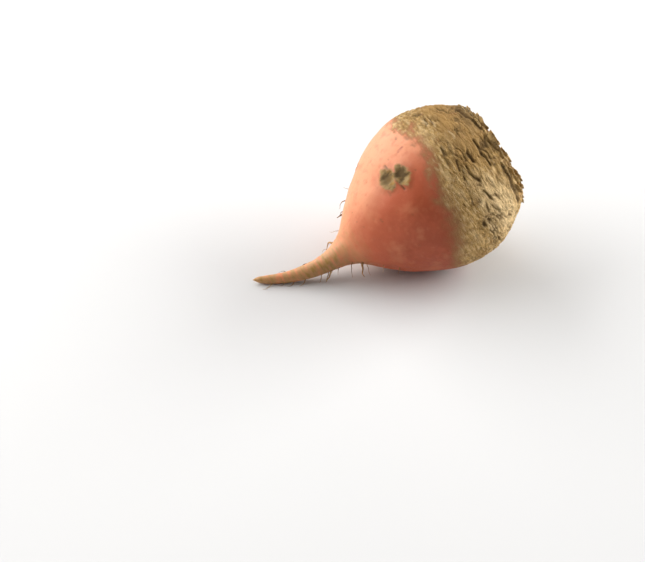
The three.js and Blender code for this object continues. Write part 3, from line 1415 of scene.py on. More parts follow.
@dataclass
class SideRoots:
    """Broken side roots and fine hairs along the two furrows and the taproot."""

    fit: BoxFit
    outline: Outline
    furrow_turn: float = 61.0
    stubs: tuple[tuple[float, int, float], ...] = (
        (-42.0, 0, 4.5),
        (-47.6, 1, 6.5),
        (-53.2, 0, 8.0),
        (-60.8, 1, 6.0),
        (-69.4, 0, 5.0),
    )
    stub_radius: float = 0.75
    hair_count: int = 22
    hair_alongs: Pair = (-30.0, -90.0)
    hair_lengths: Pair = (3.0, 9.0)
    hair_radius: float = 0.28
    corners: int = 8
    rings: int = 11
    tip_share: float = 0.22
    wander: float = 0.5
    droop: float = 0.16
    start_depth: float = 0.8

    def build(self) -> bpy.types.Object:
        """Models one straight root, and bends a copy along the path of each.

        Returns:
            All the side roots as one piece.
        """
        model = self.model_one()
        unit = points_of(model)
        rng = np.random.default_rng(Draw.ROOTLETS)
        copies = []
        for rootlet in self.rootlets(rng):
            path = self.path(rootlet, rng)
            copy = copy_of(model)
            move_points(copy, self.bend(unit, path, rootlet.radius) * MM)
            paint(copy, Layer.TONE, np.full(len(unit), rng.random()))
            paint(copy, Layer.EDGE, unit[:, 2])
            copies.append(copy)
        return join_copies(model, copies, "side_roots")

    def model_one(self) -> bpy.types.Object:
        """One straight side root, drawn out ring by ring and tapered.

        Returns:
            The root, 1 in radius and 1 long, standing on the origin.
        """
        deselect_all()
        bpy.ops.mesh.primitive_circle_add(vertices=self.corners, radius=1, fill_type="NGON")
        root = bpy.context.object
        bpy.ops.object.mode_set(mode="EDIT")
        bpy.ops.mesh.select_all(action="SELECT")
        narrower = self.tip_share ** (1 / self.rings)
        for _ in range(self.rings):
            move = {"value": (0, 0, 1 / self.rings)}
            bpy.ops.mesh.extrude_region_move(TRANSFORM_OT_translate=move)
            bpy.ops.transform.resize(value=(narrower, narrower, 1))
        face_outwards()
        return root

    def rootlets(self, rng: np.random.Generator) -> list[Rootlet]:
        """The stubs in the furrows, and hairs among them and along the taproot.

        Args:
            rng: draws where the hairs are.

        Returns:
            All the side roots.
        """
        roots = []
        for along, furrow, length in self.stubs:
            turn = math.radians(self.furrow_turn + 180 * furrow)
            roots.append(Rootlet(along, turn, length, self.stub_radius))
        top, bottom = self.hair_alongs
        short, long = self.hair_lengths
        for number in range(self.hair_count):
            along = top + (bottom - top) * (number + rng.random()) / self.hair_count
            side = math.radians(self.furrow_turn + 180 * (number % 2) + rng.normal() * 14)
            length = short + (long - short) * rng.random() ** 2
            roots.append(Rootlet(along, side, length, self.hair_radius * rng.uniform(0.6, 1.2)))
        return roots

    def path(self, root: Rootlet, rng: np.random.Generator) -> np.ndarray:
        """Lets one side root wander out of the skin, down, and along the table.

        Args:
            root: the side root.
            rng: draws how it wanders.

        Returns:
            Places along it where the root lies, one a row, in millimetres.
        """
        radius = float(self.outline.radius_at(np.array([root.along]))[0]) - self.start_depth
        out = np.array((math.sin(root.turn), math.cos(root.turn), 0))
        start = radius * out + np.array((0, 0, root.along))
        ends = self.fit.lay(np.vstack((start, start + 0.7 * out - np.array((0, 0, 0.7)))))
        place = ends[0]
        heading = (ends[1] - ends[0]) / np.linalg.norm(ends[1] - ends[0])
        step = (root.length + self.start_depth) / self.rings
        path = [place]
        for _ in range(self.rings):
            heading = heading + self.wander * rng.normal(size=3) * 0.4
            heading[2] -= self.droop
            heading /= np.linalg.norm(heading)
            place = place + step * heading
            place[2] = max(place[2], root.radius)
            path.append(place)
        return np.array(path)

    def bend(self, unit: np.ndarray, path: np.ndarray, radius: float) -> np.ndarray:
        """Bends the straight root along a path.

        Args:
            unit: the modelled root's points.
            path: places along the path, one a row.
            radius: its radius at the skin, in millimetres.

        Returns:
            Its points, in millimetres.
        """
        ring = np.clip(np.rint(unit[:, 2] * self.rings).astype(int), 0, self.rings)
        ahead = np.gradient(path, axis=0)
        ahead /= np.linalg.norm(ahead, axis=1)[:, None]
        sideways = np.cross(ahead, (0.0, 0.0, 1.0)) + np.array((1e-3, 0, 0))
        sideways /= np.linalg.norm(sideways, axis=1)[:, None]
        over = np.cross(sideways, ahead)
        across = unit[:, :1] * sideways[ring] + unit[:, 1:2] * over[ring]
        bent = path[ring] + radius * across
        bent[:, 2] = np.maximum(bent[:, 2], 0.02)
        return bent


class NodeBoard:
    """Places shader nodes in one tree and joins them up."""

    def __init__(self, tree: bpy.types.NodeTree) -> None:
        """Takes the tree to work in.

        Args:
            tree: a material's tree or a node group.
        """
        self.tree = tree

    def add(self, kind: str, **settings: object) -> bpy.types.Node:
        """Adds a node.

        Args:
            kind: the node's type.
            **settings: its properties.

        Returns:
            The node.
        """
        node = self.tree.nodes.new(kind)
        for name, value in settings.items():
            setattr(node, name, value)
        return node

    def feed(self, socket: bpy.types.NodeSocket, source: object) -> None:
        """Joins a socket to another, or gives it a plain value.

        Args:
            socket: the socket that takes it.
            source: another socket, a number, a vector or a colour.
        """
        if isinstance(source, bpy.types.NodeSocket):
            self.tree.links.new(source, socket)
        else:
            socket.default_value = source

    def maths(self, operation: str, *values: object) -> bpy.types.NodeSocket:
        """One sum on numbers.

        Args:
            operation: which sum.
            *values: sockets or plain numbers.

        Returns:
            The result.
        """
        node = self.add("ShaderNodeMath", operation=operation)
        for socket, value in zip(node.inputs, values):
            self.feed(socket, value)
        return node.outputs[0]

    def span(self, value: object, low: float, high: float) -> bpy.types.NodeSocket:
        """A smooth step from 0 at low to 1 at high.

        Args:
            value: a socket or a number.
            low: where it leaves 0.
            high: where it reaches 1.

        Returns:
            The step.
        """
        node = self.add("ShaderNodeMapRange", interpolation_type="SMOOTHSTEP")
        self.feed(node.inputs["Value"], value)
        node.inputs["From Min"].default_value = low
        node.inputs["From Max"].default_value = high
        return node.outputs["Result"]

    def mix(self, share: object, first: object, second: object) -> bpy.types.NodeSocket:
        """Goes from one colour to another.

        Args:
            share: how much of the second there is.
            first: a socket or a colour.
            second: a socket or a colour.

        Returns:
            The mixed colour.
        """
        node = self.add("ShaderNodeMix", data_type="RGBA")
        self.feed(node.inputs[0], share)
        self.feed(node.inputs[6], first)
        self.feed(node.inputs[7], second)
        return node.outputs[2]

    def tint(self, colour: object, mask: object, share: float, other: object) -> bpy.types.NodeSocket:
        """Lays another colour over one, where a mask lets it through.

        Args:
            colour: the colour below.
            mask: where the other colour shows, from 0 to 1.
            share: how much of it shows there at most.
            other: the colour above.

        Returns:
            The tinted colour.
        """
        return self.mix(self.maths("MULTIPLY", mask, share), colour, other)

    def between(self, value: object, low: float, high: float) -> bpy.types.NodeSocket:
        """A number that changes evenly as a value goes from 0 to 1.

        Args:
            value: a socket.
            low: the number at 0.
            high: the number at 1.

        Returns:
            The number.
        """
        node = self.add("ShaderNodeMapRange")
        self.feed(node.inputs["Value"], value)
        node.inputs["To Min"].default_value = low
        node.inputs["To Max"].default_value = high
        return node.outputs["Result"]

    def dot(self, vector: object, other: tuple[float, float, float]) -> bpy.types.NodeSocket:
        """How far a vector reaches along another.

        Args:
            vector: the socket of the vector.
            other: the direction, over the length that counts as 1.

        Returns:
            The reach.
        """
        node = self.add("ShaderNodeVectorMath", operation="DOT_PRODUCT")
        self.feed(node.inputs[0], vector)
        node.inputs[1].default_value = other
        return node.outputs["Value"]

    def noise(self, place: object, scale: object, detail: float = 3) -> bpy.types.NodeSocket:
        """Soft noise between 0 and 1.

        Args:
            place: the socket of the point that it is read at.
            scale: how many bumps to a metre.
            detail: how many finer layers there are.

        Returns:
            The noise.
        """
        node = self.add("ShaderNodeTexNoise")
        self.feed(node.inputs["Vector"], place)
        self.feed(node.inputs["Scale"], scale)
        node.inputs["Detail"].default_value = detail
        return node.outputs["Fac"]

    def spots(self, place: object, scale: object) -> bpy.types.NodeSocket:
        """The distance to the nearest of a scatter of spots.

        Args:
            place: the socket of the point that it is read at.
            scale: how many spots to a metre.

        Returns:
            The distance, in spacings.
        """
        node = self.add("ShaderNodeTexVoronoi")
        self.feed(node.inputs["Vector"], place)
        self.feed(node.inputs["Scale"], scale)
        return node.outputs["Distance"]

    def streaks(
        self, place: object, stretch: tuple[float, float, float], fineness: float
    ) -> bpy.types.NodeSocket:
        """Fine streaks, between 0 and 1.

        Args:
            place: the socket of the point that they are read at.
            stretch: how close together they are each way, beside their fineness.
            fineness: how many of them to a metre.

        Returns:
            The streaks.
        """
        node = self.add("ShaderNodeGroup", node_tree=drawn_streaks_group())
        self.feed(node.inputs["Place"], place)
        node.inputs["Stretch"].default_value = stretch
        node.inputs["Fineness"].default_value = fineness
        return node.outputs["Streaks"]

    def grain(self, place: object, fineness: float) -> tuple[bpy.types.NodeSocket, bpy.types.NodeSocket]:
        """The crumbly grain of dried skin.

        Args:
            place: the socket of the point that it is read at.
            fineness: how many clouds to a metre.

        Returns:
            The clouds and the specks, between 0 and 1.
        """
        node = self.add("ShaderNodeGroup", node_tree=dry_grain_group())
        self.feed(node.inputs["Place"], place)
        node.inputs["Fineness"].default_value = fineness
        return node.outputs["Clouds"], node.outputs["Specks"]

    def layer(self, layer: Layer) -> bpy.types.NodeSocket:
        """A layer that was painted on the piece's points."""
        node = self.add("ShaderNodeAttribute", attribute_name=layer.value)
        return node.outputs["Fac"]

    def bump(self, height: object, depth: float, strength: float) -> bpy.types.NodeSocket:
        """A bumpy normal.

        Args:
            height: the relief, from 0 to 1.
            depth: how deep the whole relief is, in metres.
            strength: how much of it is kept.

        Returns:
            The normal.
        """
        node = self.add("ShaderNodeBump")
        node.inputs["Strength"].default_value = strength
        node.inputs["Distance"].default_value = depth
        self.feed(node.inputs["Height"], height)
        return node.outputs["Normal"]


def new_group(name: str, takes: dict[str, str], gives: dict[str, str]) -> bpy.types.ShaderNodeTree:
    """Starts a node group.

    Args:
        name: what it is called.
        takes: its inputs' names and types.
        gives: its outputs' names and types.

    Returns:
        The group, with nothing in it but its sockets.
    """
    tree = bpy.data.node_groups.new(name, "ShaderNodeTree")
    for side, sockets in (("INPUT", takes), ("OUTPUT", gives)):
        for socket, kind in sockets.items():
            tree.interface.new_socket(socket, in_out=side, socket_type=f"NodeSocket{kind}")
    return tree


def drawn_streaks_group() -> bpy.types.ShaderNodeTree:
    """Fine streaks that run one way, as fibres do, for every dry finish on the root.

    Returns:
        The node group, made on the first call: Place, Stretch and Fineness in, Streaks out.
    """
    made = bpy.data.node_groups.get("drawn_streaks")
    if made:
        return made
    takes = {"Place": "Vector", "Stretch": "Vector", "Fineness": "Float"}
    tree = new_group("drawn_streaks", takes, {"Streaks": "Float"})
    board = NodeBoard(tree)
    given = board.add("NodeGroupInput")
    drawn = board.add("ShaderNodeVectorMath", operation="MULTIPLY")
    board.feed(drawn.inputs[0], given.outputs["Place"])
    board.feed(drawn.inputs[1], given.outputs["Stretch"])
    noise = board.noise(drawn.outputs["Vector"], given.outputs["Fineness"], 4)
    result = board.add("NodeGroupOutput")
    board.feed(result.inputs["Streaks"], noise)
    return tree


def dry_grain_group(specks_finer: float = 3.6) -> bpy.types.ShaderNodeTree:
    """The crumbly grain of dried skin: soft clouds with tiny dark specks.

    Args:
        specks_finer: how many times finer the specks are than the clouds.

    Returns:
        The node group, made on the first call: Place and Fineness in, Clouds and Specks out.
    """
    made = bpy.data.node_groups.get("dry_grain")
    if made:
        return made
    takes = {"Place": "Vector", "Fineness": "Float"}
    tree = new_group("dry_grain", takes, {"Clouds": "Float", "Specks": "Float"})
    board = NodeBoard(tree)
    given = board.add("NodeGroupInput")
    clouds = board.noise(given.outputs["Place"], given.outputs["Fineness"], 4)
    finer = board.maths("MULTIPLY", given.outputs["Fineness"], specks_finer)
    specks = board.noise(given.outputs["Place"], finer, 3)
    result = board.add("NodeGroupOutput")
    board.feed(result.inputs["Clouds"], board.span(clouds, 0.3, 0.7))
    board.feed(result.inputs["Specks"], board.span(specks, 0.36, 0.66))
    return tree


def new_material(name: str) -> tuple[bpy.types.Material, NodeBoard, bpy.types.Node]:
    """Starts a material with a plain surface shader.

    Args:
        name: what it is called.

    Returns:
        The material, its board and its surface shader.
    """
    material = bpy.data.materials.new(name)
    material.use_nodes = True
    material.node_tree.nodes.clear()
    board = NodeBoard(material.node_tree)
    surface = board.add("ShaderNodeBsdfPrincipled")
    output = board.add("ShaderNodeOutputMaterial")
    board.feed(output.inputs["Surface"], surface.outputs["BSDF"])
    return material, board, surface


@dataclass(frozen=True)
class RootFrame:
    """Where the root's axis lies, so that a finish can follow it."""

    centre: tuple[float, float, float]
    tilt: float
    radius: float

    def upright(self, board: NodeBoard, place: bpy.types.NodeSocket) -> bpy.types.NodeSocket:
        """The point as it is on the upright root, from its place on the lying one.

        Args:
            board: where the nodes go.
            place: the point's place.

        Returns:
            The upright point, in metres, with the axis along Z.
        """
        turned = board.add("ShaderNodeMapping", vector_type="TEXTURE")
        turned.inputs["Location"].default_value = self.centre
        turned.inputs["Rotation"].default_value = (0, math.pi / 2 - self.tilt, 0)
        board.feed(turned.inputs["Vector"], place)
        return turned.outputs["Vector"]

    def facing(
        self, board: NodeBoard, upright: bpy.types.NodeSocket, turn: float
    ) -> bpy.types.NodeSocket:
        """How far a point is to one side of the axis.

        Args:
            board: where the nodes go.
            upright: the point on the upright root.
            turn: the side, in degrees round the axis.

        Returns:
            1 on that side of the body, -1 on the other.
        """
        angle = math.radians(turn)
        side = (-math.cos(angle) / self.radius, math.sin(angle) / self.radius, 0)
        return board.dot(upright, side)

    def along(self, board: NodeBoard, upright: bpy.types.NodeSocket) -> bpy.types.NodeSocket:
        """How far a point is towards the crown.

        Args:
            board: where the nodes go.
            upright: the point on the upright root.

        Returns:
            0 at the belly and 1 a belly's radius above it.
        """
        return board.dot(upright, (0, 0, 1 / self.radius))


@dataclass(frozen=True)
class SkinFinish:
    """The root's skin: smooth pink below, corky tan above, with painted shade in its creases and hollows
    and painted light and shade on its sides.
    """

    frame: RootFrame
    # Painted light: the paler orange-pink that the lit side of the smooth skin is painted with; also
    # used for random blotches.
    peach_and_painted_light: Colour = (0.74, 0.285, 0.135, 1)
    rose: Colour = (0.54, 0.118, 0.05, 1)
    # Painted shade: the darker red-brown that the shaded side of the smooth skin is painted with.
    painted_shade_brick: Colour = (0.385, 0.072, 0.026, 1)
    wine: Colour = (0.36, 0.055, 0.035, 1)
    ochre: Colour = (0.36, 0.14, 0.05, 1)
    olive: Colour = (0.27, 0.142, 0.05, 1)
    tan: Colour = (0.67, 0.41, 0.135, 1)
    brown: Colour = (0.40, 0.225, 0.064, 1)
    # A dark brown for real dark fibres, the rim and the trimmed crown, and also for painted shade in the
    # carved hollows.
    umber_and_painted_shade: Colour = (0.20, 0.115, 0.037, 1)
    rust: Colour = (0.36, 0.18, 0.048, 1)
    # A pale powdery colour for real powdery dirt and peeling cork, and also for painted highlights on
    # ridges and painted light on one side of the cork.
    dust_and_painted_light: Colour = (0.92, 0.68, 0.36, 1)
    # Painted shade for the creases and cracks.
    crevice: Colour = (0.12, 0.068, 0.022, 1)
    stain: Colour = (0.20, 0.09, 0.035, 1)
    scar_pale: Colour = (0.42, 0.285, 0.125, 1)
    scar_dark: Colour = (0.10, 0.06, 0.022, 1)
    tail_tan: Colour = (0.50, 0.27, 0.11, 1)
    round_body: tuple[float, float, float] = (0.3, 0.3, 1.0)
    along_body: tuple[float, float, float] = (1.0, 1.0, 0.3)
    roughness: Pair = (0.46, 0.9)
    specular: float = 0.28
    relief_depth: float = 0.0015
    above_turn: float = -6.0
    # The side of the cork that is painted lighter near the crown, as painted light.
    painted_light_turn: float = -92.0
    weathered_turn: float = 32.0
    # The side of the smooth skin that is painted darkest, as painted shade; the opposite side is painted
    # paler, as painted light.
    painted_shade_turn: float = -95.0

    def material(self) -> bpy.types.Material:
        """Builds the material.

        Returns:
            The skin's material.
        """
        material, board, surface = new_material("skin")
        place = board.add("ShaderNodeTexCoord").outputs["Object"]
        upright = self.frame.upright(board, place)
        cork = board.layer(Layer.CORK)
        colour = self.smooth_colour(board, place, upright)
        colour = self.over_edge(board, upright, cork, colour, self.cork_colour(board, place, upright))
        # Painted shade: the creases and cracks are darkened.
        colour = board.tint(colour, board.layer(Layer.CREASE), 0.85, self.crevice)
        strands = board.streaks(upright, self.along_body, 600)
        pale = board.mix(board.span(strands, 0.34, 0.56), self.brown, self.scar_pale)
        scarred = board.layer(Layer.SCAR_RIM)
        colour = board.mix(scarred, colour, pale)
        colour = board.mix(board.layer(Layer.SCAR_CORE), colour, self.scar_dark)
        board.feed(surface.inputs["Base Color"], colour)
        rough = board.between(board.maths("MAXIMUM", cork, scarred), *self.roughness)
        board.feed(surface.inputs["Roughness"], rough)
        surface.inputs["Specular IOR Level"].default_value = self.specular
        board.feed(surface.inputs["Normal"], self.fine_relief(board, place, upright, cork))
        return material

    def over_edge(
        self,
        board: NodeBoard,
        upright: bpy.types.NodeSocket,
        cork: bpy.types.NodeSocket,
        smooth: bpy.types.NodeSocket,
        corky: bpy.types.NodeSocket,
    ) -> bpy.types.NodeSocket:
        """Goes from the smooth skin to the corky skin, through ochre and olive, over a broken edge.

        Args:
            board: where the nodes go.
            upright: the point on the upright root.
            cork: how corky the skin is.
            smooth: the smooth skin's colour.
            corky: the corky skin's colour.

        Returns:
            The colour.
        """
        streaks = board.streaks(upright, self.round_body, 480)
        patches = board.noise(upright, 170, 5)
        broken = board.maths("MULTIPLY_ADD", patches, 1.9, board.maths("MULTIPLY", streaks, 1.1))
        soft = board.layer(Layer.SOFT)
        share = board.maths("SUBTRACT", 1.0, board.maths("MULTIPLY", soft, 0.8))
        share = board.maths("MULTIPLY", share, board.span(cork, 0.0, 0.22))
        ragged = board.maths("MULTIPLY_ADD", board.maths("SUBTRACT", broken, 1.5), share, cork)
        colour = board.tint(smooth, board.span(ragged, 0.0, 0.5), 0.7, self.ochre)
        fringe = board.maths("MULTIPLY_ADD", soft, 0.5, 0.4)
        fringe = board.maths("MULTIPLY", board.span(ragged, 0.12, 0.72), fringe)
        colour = board.mix(fringe, colour, self.olive)
        return board.mix(board.span(ragged, 0.3, 0.9), colour, corky)

    def cork_colour(
        self, board: NodeBoard, place: bpy.types.NodeSocket, upright: bpy.types.NodeSocket
    ) -> bpy.types.NodeSocket:
        """The corky skin: tan and brown fibres, with a pale powdery coat and painted highlight where
        they stand out, painted shade in their hollows, painted light on one side, darkest on top.

        Args:
            board: where the nodes go.
            place: the point's place.
            upright: the same point on the upright root.

        Returns:
            The colour.
        """
        clouds, specks = board.grain(place, 420)
        colour = board.mix(clouds, self.brown, self.tan)
        relief = board.layer(Layer.RELIEF)
        # Pale powdery dirt and painted highlight: the raised parts of the relief are lightened.
        ridge_dust_and_highlight = board.maths("MULTIPLY", board.span(relief, 0.38, 0.8), specks)
        colour = board.tint(colour, ridge_dust_and_highlight, 0.85, self.dust_and_painted_light)
        fibres = board.streaks(upright, self.round_body, 950)
        colour = board.tint(colour, board.span(fibres, 0.5, 0.7), 0.6, self.dust_and_painted_light)
        colour = board.tint(colour, board.span(fibres, 0.48, 0.32), 0.65, self.umber_and_painted_shade)
        plates = board.streaks(upright, self.round_body, 150)
        colour = board.tint(colour, board.span(plates, 0.5, 0.68), 0.5, self.dust_and_painted_light)
        rusty = board.noise(upright, 190, 4)
        colour = board.tint(colour, board.span(rusty, 0.5, 0.7), 0.55, self.rust)
        height = self.frame.along(board, upright)
        towards_crown = board.span(height, 0.2, 0.5)
        above = board.span(self.frame.facing(board, upright, self.above_turn), 0.2, 0.9)
        colour = board.tint(colour, board.maths("MULTIPLY", above, towards_crown), 0.95, self.brown)
        # Painted light: the cork on one side, towards the crown, is lightened.
        beside = board.span(self.frame.facing(board, upright, self.painted_light_turn), 0.6, 0.95)
        colour = board.tint(colour, board.maths("MULTIPLY", beside, towards_crown), 0.7, self.dust_and_painted_light)
        weathered = board.span(self.frame.facing(board, upright, self.weathered_turn), 0.3, 0.6)
        at_rim = board.maths("MULTIPLY", weathered, board.span(height, 0.6, 0.78))
        colour = board.tint(colour, at_rim, 0.75, self.umber_and_painted_shade)
        # Painted shade: the carved hollows of the relief are darkened.
        colour = board.tint(colour, board.span(relief, 0.5, 0.15), 0.6, self.umber_and_painted_shade)
        colour = board.tint(colour, board.layer(Layer.PEEL), 0.85, self.dust_and_painted_light)
        trimmed = board.maths("MULTIPLY", board.layer(Layer.CROWN), board.span(clouds, 1.1, 0.0))
        return board.mix(trimmed, colour, self.umber_and_painted_shade)

    def smooth_colour(
        self, board: NodeBoard, place: bpy.types.NodeSocket, upright: bpy.types.NodeSocket
    ) -> bpy.types.NodeSocket:
        """The smooth skin: paler orange-pink above as painted light, rose and darker red-brown below as
        painted shade, tan towards the taproot's tip.

        Args:
            board: where the nodes go.
            place: the point's place.
            upright: the same point on the upright root.

        Returns:
            The colour.
        """
        cloud = board.noise(upright, 40, 3)
        # Painted light and shade: paler on one side, rose and then darker red-brown towards the other,
        # under a soft cloud of real colour variation.
        side = self.frame.facing(board, upright, self.painted_shade_turn)
        blush_and_painted_shading = board.maths("MULTIPLY_ADD", cloud, 0.7, side)
        colour = board.mix(board.span(blush_and_painted_shading, 0.28, 0.84), self.peach_and_painted_light, self.rose)
        colour = board.mix(board.span(blush_and_painted_shading, 0.7, 1.25), colour, self.painted_shade_brick)
        blotches = board.noise(place, 110, 3)
        colour = board.tint(colour, board.span(blotches, 0.5, 0.7), 0.35, self.rose)
        colour = board.tint(colour, board.span(blotches, 0.48, 0.3), 0.25, self.peach_and_painted_light)
        mottle = board.noise(place, 300, 5)
        colour = board.tint(colour, board.span(mottle, 0.5, 0.72), 0.4, self.rose)
        colour = board.tint(colour, board.span(mottle, 0.46, 0.28), 0.12, self.peach_and_painted_light)
        lines = board.streaks(upright, self.along_body, 620)
        colour = board.tint(colour, board.span(lines, 0.56, 0.78), 0.12, self.wine)
        rings = board.streaks(upright, self.round_body, 560)
        colour = board.tint(colour, board.span(rings, 0.62, 0.78), 0.08, self.ochre)
        dry = board.maths("MULTIPLY", board.layer(Layer.TAIL), board.span(rings, 0.25, 0.6))
        colour = board.mix(dry, colour, self.tail_tan)
        dry_rings = board.maths("MULTIPLY", dry, board.span(rings, 0.55, 0.7))
        colour = board.mix(dry_rings, colour, self.brown)
        pores = board.span(board.spots(place, 260), 0.16, 0.05)
        pored = board.maths("MULTIPLY", pores, board.span(cloud, 0.42, 0.6))
        colour = board.tint(colour, pored, 0.35, self.ochre)
        colour = board.mix(board.layer(Layer.SCRATCH), colour, self.wine)
        return board.mix(board.layer(Layer.STAIN), colour, self.stain)

    def fine_relief(
        self,
        board: NodeBoard,
        place: bpy.types.NodeSocket,
        upright: bpy.types.NodeSocket,
        cork: bpy.types.NodeSocket,
    ) -> bpy.types.NodeSocket:
        """The relief too fine to carve: fibres and grain on the cork, faint on the smooth skin.

        Args:
            board: where the nodes go.
            place: the point's place.
            upright: the same point on the upright root.
            cork: how corky the skin is.

        Returns:
            The normal.
        """
        fibres = board.maths("MULTIPLY", board.streaks(upright, self.round_body, 1050), cork)
        _, specks = board.grain(place, 700)
        grain = board.maths("MULTIPLY", specks, board.maths("ADD", cork, 0.06))
        grain = board.maths("MULTIPLY", grain, 0.3)
        height = board.maths("MULTIPLY_ADD", fibres, 0.65, grain)
        return board.bump(height, self.relief_depth, 0.9)


@dataclass(frozen=True)
class DryFinish:
    """Dried leaf and root fibre: streaked along its growth, paler and ragged at its edge."""

    frame: RootFrame
    name: str
    dark: Colour
    middle: Colour
    light: Colour
    edge: Colour
    edge_share: float
    stretch: tuple[float, float, float] = (1.0, 1.0, 0.28)
    fineness: float = 1100.0
    roughness: Pair = (0.7, 0.92)
    specular: float = 0.3
    relief_depth: float = 0.0008

    def material(self) -> bpy.types.Material:
        """Builds the material.

        Returns:
            The finish's material.
        """
        material, board, surface = new_material(self.name)
        place = board.add("ShaderNodeTexCoord").outputs["Object"]
        upright = self.frame.upright(board, place)
        tone = board.layer(Layer.TONE)
        clouds, specks = board.grain(place, 520)
        shade = board.maths("MULTIPLY_ADD", clouds, 0.5, board.maths("SUBTRACT", tone, 0.25))
        colour = board.mix(board.span(shade, 0.1, 0.6), self.dark, self.middle)
        colour = board.mix(board.span(shade, 0.5, 1.0), colour, self.light)
        streaks = board.streaks(upright, self.stretch, self.fineness)
        colour = board.tint(colour, board.span(streaks, 0.52, 0.68), 0.55, self.light)
        colour = board.tint(colour, board.span(streaks, 0.46, 0.32), 0.7, self.dark)
        tip = board.maths("MULTIPLY", board.span(board.layer(Layer.EDGE), 0.55, 1.0), specks)
        colour = board.tint(colour, tip, self.edge_share, self.edge)
        board.feed(surface.inputs["Base Color"], colour)
        board.feed(surface.inputs["Roughness"], board.between(clouds, *self.roughness))
        surface.inputs["Specular IOR Level"].default_value = self.specular
        height = board.maths("MULTIPLY_ADD", streaks, 0.7, board.maths("MULTIPLY", specks, 0.3))
        board.feed(surface.inputs["Normal"], board.bump(height, self.relief_depth, 0.9))
        return material


SCALE_COLOURS = {
    "dark": (0.12, 0.083, 0.036, 1),
    "middle": (0.36, 0.225, 0.082, 1),
    "light": (0.60, 0.39, 0.145, 1),
    "edge": (0.68, 0.50, 0.25, 1),
    "edge_share": 0.55,
}
STALK_COLOURS = {
    "dark": (0.13, 0.082, 0.032, 1),
    "middle": (0.36, 0.22, 0.08, 1),
    "light": (0.56, 0.365, 0.14, 1),
    "edge": (0.62, 0.45, 0.19, 1),
    "edge_share": 0.85,
}
ROOTLET_COLOURS = {
    "dark": (0.16, 0.08, 0.03, 1),
    "middle": (0.38, 0.20, 0.08, 1),
    "light": (0.58, 0.38, 0.18, 1),
    "edge": (0.45, 0.30, 0.14, 1),
    "edge_share": 0.5,
}


@dataclass(frozen=True)
class Lamp:
    """A soft rectangular studio light that faces the root."""

    name: str
    azimuth: float
    elevation: float
    distance: float
    width: float
    height: float
    power: float

    def place(self, aim: Vector) -> None:
        """Adds the light.

        Args:
            aim: the point it faces.
        """
        deselect_all()
        back = direction(self.azimuth, self.elevation)
        bpy.ops.object.light_add(
            type="AREA",
            location=aim + back * self.distance,
            rotation=back.to_track_quat("Z", "Y").to_euler(),
        )
        light = bpy.context.object
        light.name = self.name
        light.data.shape = "RECTANGLE"
        light.data.size = self.width
        light.data.size_y = self.height
        light.data.energy = self.power


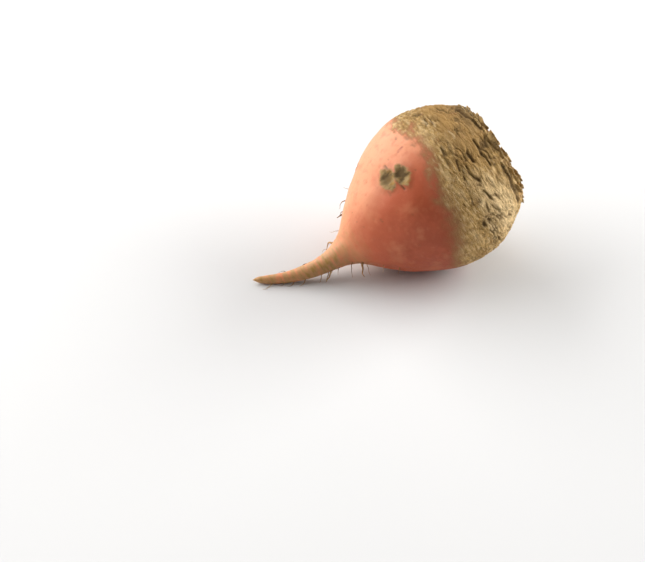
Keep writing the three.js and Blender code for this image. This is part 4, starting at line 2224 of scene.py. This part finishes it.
@dataclass(frozen=True)
class Studio:
    """The pale table, the soft light and the camera."""

    aim: tuple[float, float, float] = (-0.03295, -0.0024, 0.0)
    azimuth: float = -20.0
    elevation: float = 38.0
    distance: float = 0.8
    lens: float = 96.04
    clip_start: float = 0.01
    lit_height: float = 0.03
    table_size: float = 6.0
    table_roughness: float = 0.7
    cloud_scale: float = 9.0
    table_colour: Colour = (0.615, 0.607, 0.60, 1)
    table_shade: Colour = (0.60, 0.598, 0.592, 1)
    world_colour: Colour = (1.0, 0.99, 0.985, 1)
    world_strength: float = 0.12
    lamps: tuple[Lamp, ...] = (
        Lamp("window", 224, 28, 1.1, 1.8, 1.1, 28.5),
        Lamp("right_screen", 86, 21, 1.7, 1.9, 1.1, 60.0),
        Lamp("ceiling", 130, 70, 1.2, 1.3, 1.3, 4.5),
    )

    def set_up(self) -> None:
        """Adds the table, the lights and the camera."""
        deselect_all()
        bpy.ops.mesh.primitive_plane_add(size=self.table_size, location=(0, 0, 0))
        table = bpy.context.object
        table.name = "table"
        table.data.materials.append(self.table_material())
        world = bpy.data.worlds.new("soft_room")
        world.use_nodes = True
        backdrop = world.node_tree.nodes["Background"]
        backdrop.inputs["Color"].default_value = self.world_colour
        backdrop.inputs["Strength"].default_value = self.world_strength
        bpy.context.scene.world = world
        for lamp in self.lamps:
            lamp.place(Vector((0, 0, self.lit_height)))
        self.place_camera()
        bpy.context.scene.view_settings.view_transform = "Standard"

    def table_material(self) -> bpy.types.Material:
        """A matte white table top, very slightly clouded.

        Returns:
            The material.
        """
        material, board, surface = new_material("table_top")
        place = board.add("ShaderNodeTexCoord").outputs["Object"]
        clouded = board.mix(board.noise(place, self.cloud_scale, 2), self.table_colour, self.table_shade)
        board.feed(surface.inputs["Base Color"], clouded)
        surface.inputs["Roughness"].default_value = self.table_roughness
        return material

    def place_camera(self) -> None:
        """Adds the camera, looking down at the root from the front left."""
        back = direction(self.azimuth, self.elevation)
        deselect_all()
        bpy.ops.object.camera_add(
            location=Vector(self.aim) + back * self.distance,
            rotation=back.to_track_quat("Z", "Y").to_euler(),
        )
        camera = bpy.context.object
        camera.data.lens = self.lens
        camera.data.clip_start = self.clip_start
        bpy.context.scene.camera = camera


def count_faces(piece: bpy.types.Object) -> int:
    """Counts a mesh's triangles."""
    return sum(len(face.vertices) - 2 for face in piece.data.polygons)


def dressed(piece: bpy.types.Object, finish: SkinFinish | DryFinish) -> bpy.types.Object:
    """Gives a piece its finish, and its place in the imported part.

    Args:
        piece: the finished mesh.
        finish: what its surface is.

    Returns:
        The same piece.
    """
    piece.data.materials.clear()
    piece.data.materials.append(finish.material())
    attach(piece, "root")
    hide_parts("beetroot")
    LOG.info("%s: %d triangles", piece.name, count_faces(piece))
    return piece


def main() -> None:
    """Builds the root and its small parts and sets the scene."""
    logging.basicConfig(level=logging.INFO, format="%(message)s")
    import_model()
    axis, outline, leaves = RestingAxis(), Outline(), LeafSpiral()
    body = RootBody(axis, outline, CorkEdge(), leaves)
    root = body.build()
    centre = (body.place[0] * MM, body.place[1] * MM, axis.body_height * MM)
    frame = RootFrame(centre, axis.tilt, axis.belly_radius * MM)
    dressed(root, SkinFinish(frame))
    fit = BoxFit(axis, body.place)
    scales = StalkScales(fit, outline, leaves).build()
    dressed(scales, DryFinish(frame, "dry_scale", **SCALE_COLOURS))
    stalks = CutStalks(fit, outline, leaves).build()
    dressed(stalks, DryFinish(frame, "cut_stalk", **STALK_COLOURS))
    roots = SideRoots(fit, outline).build()
    dressed(roots, DryFinish(frame, "rootlet", **ROOTLET_COLOURS))
    Studio().set_up()


if __name__ == "__main__":
    main()
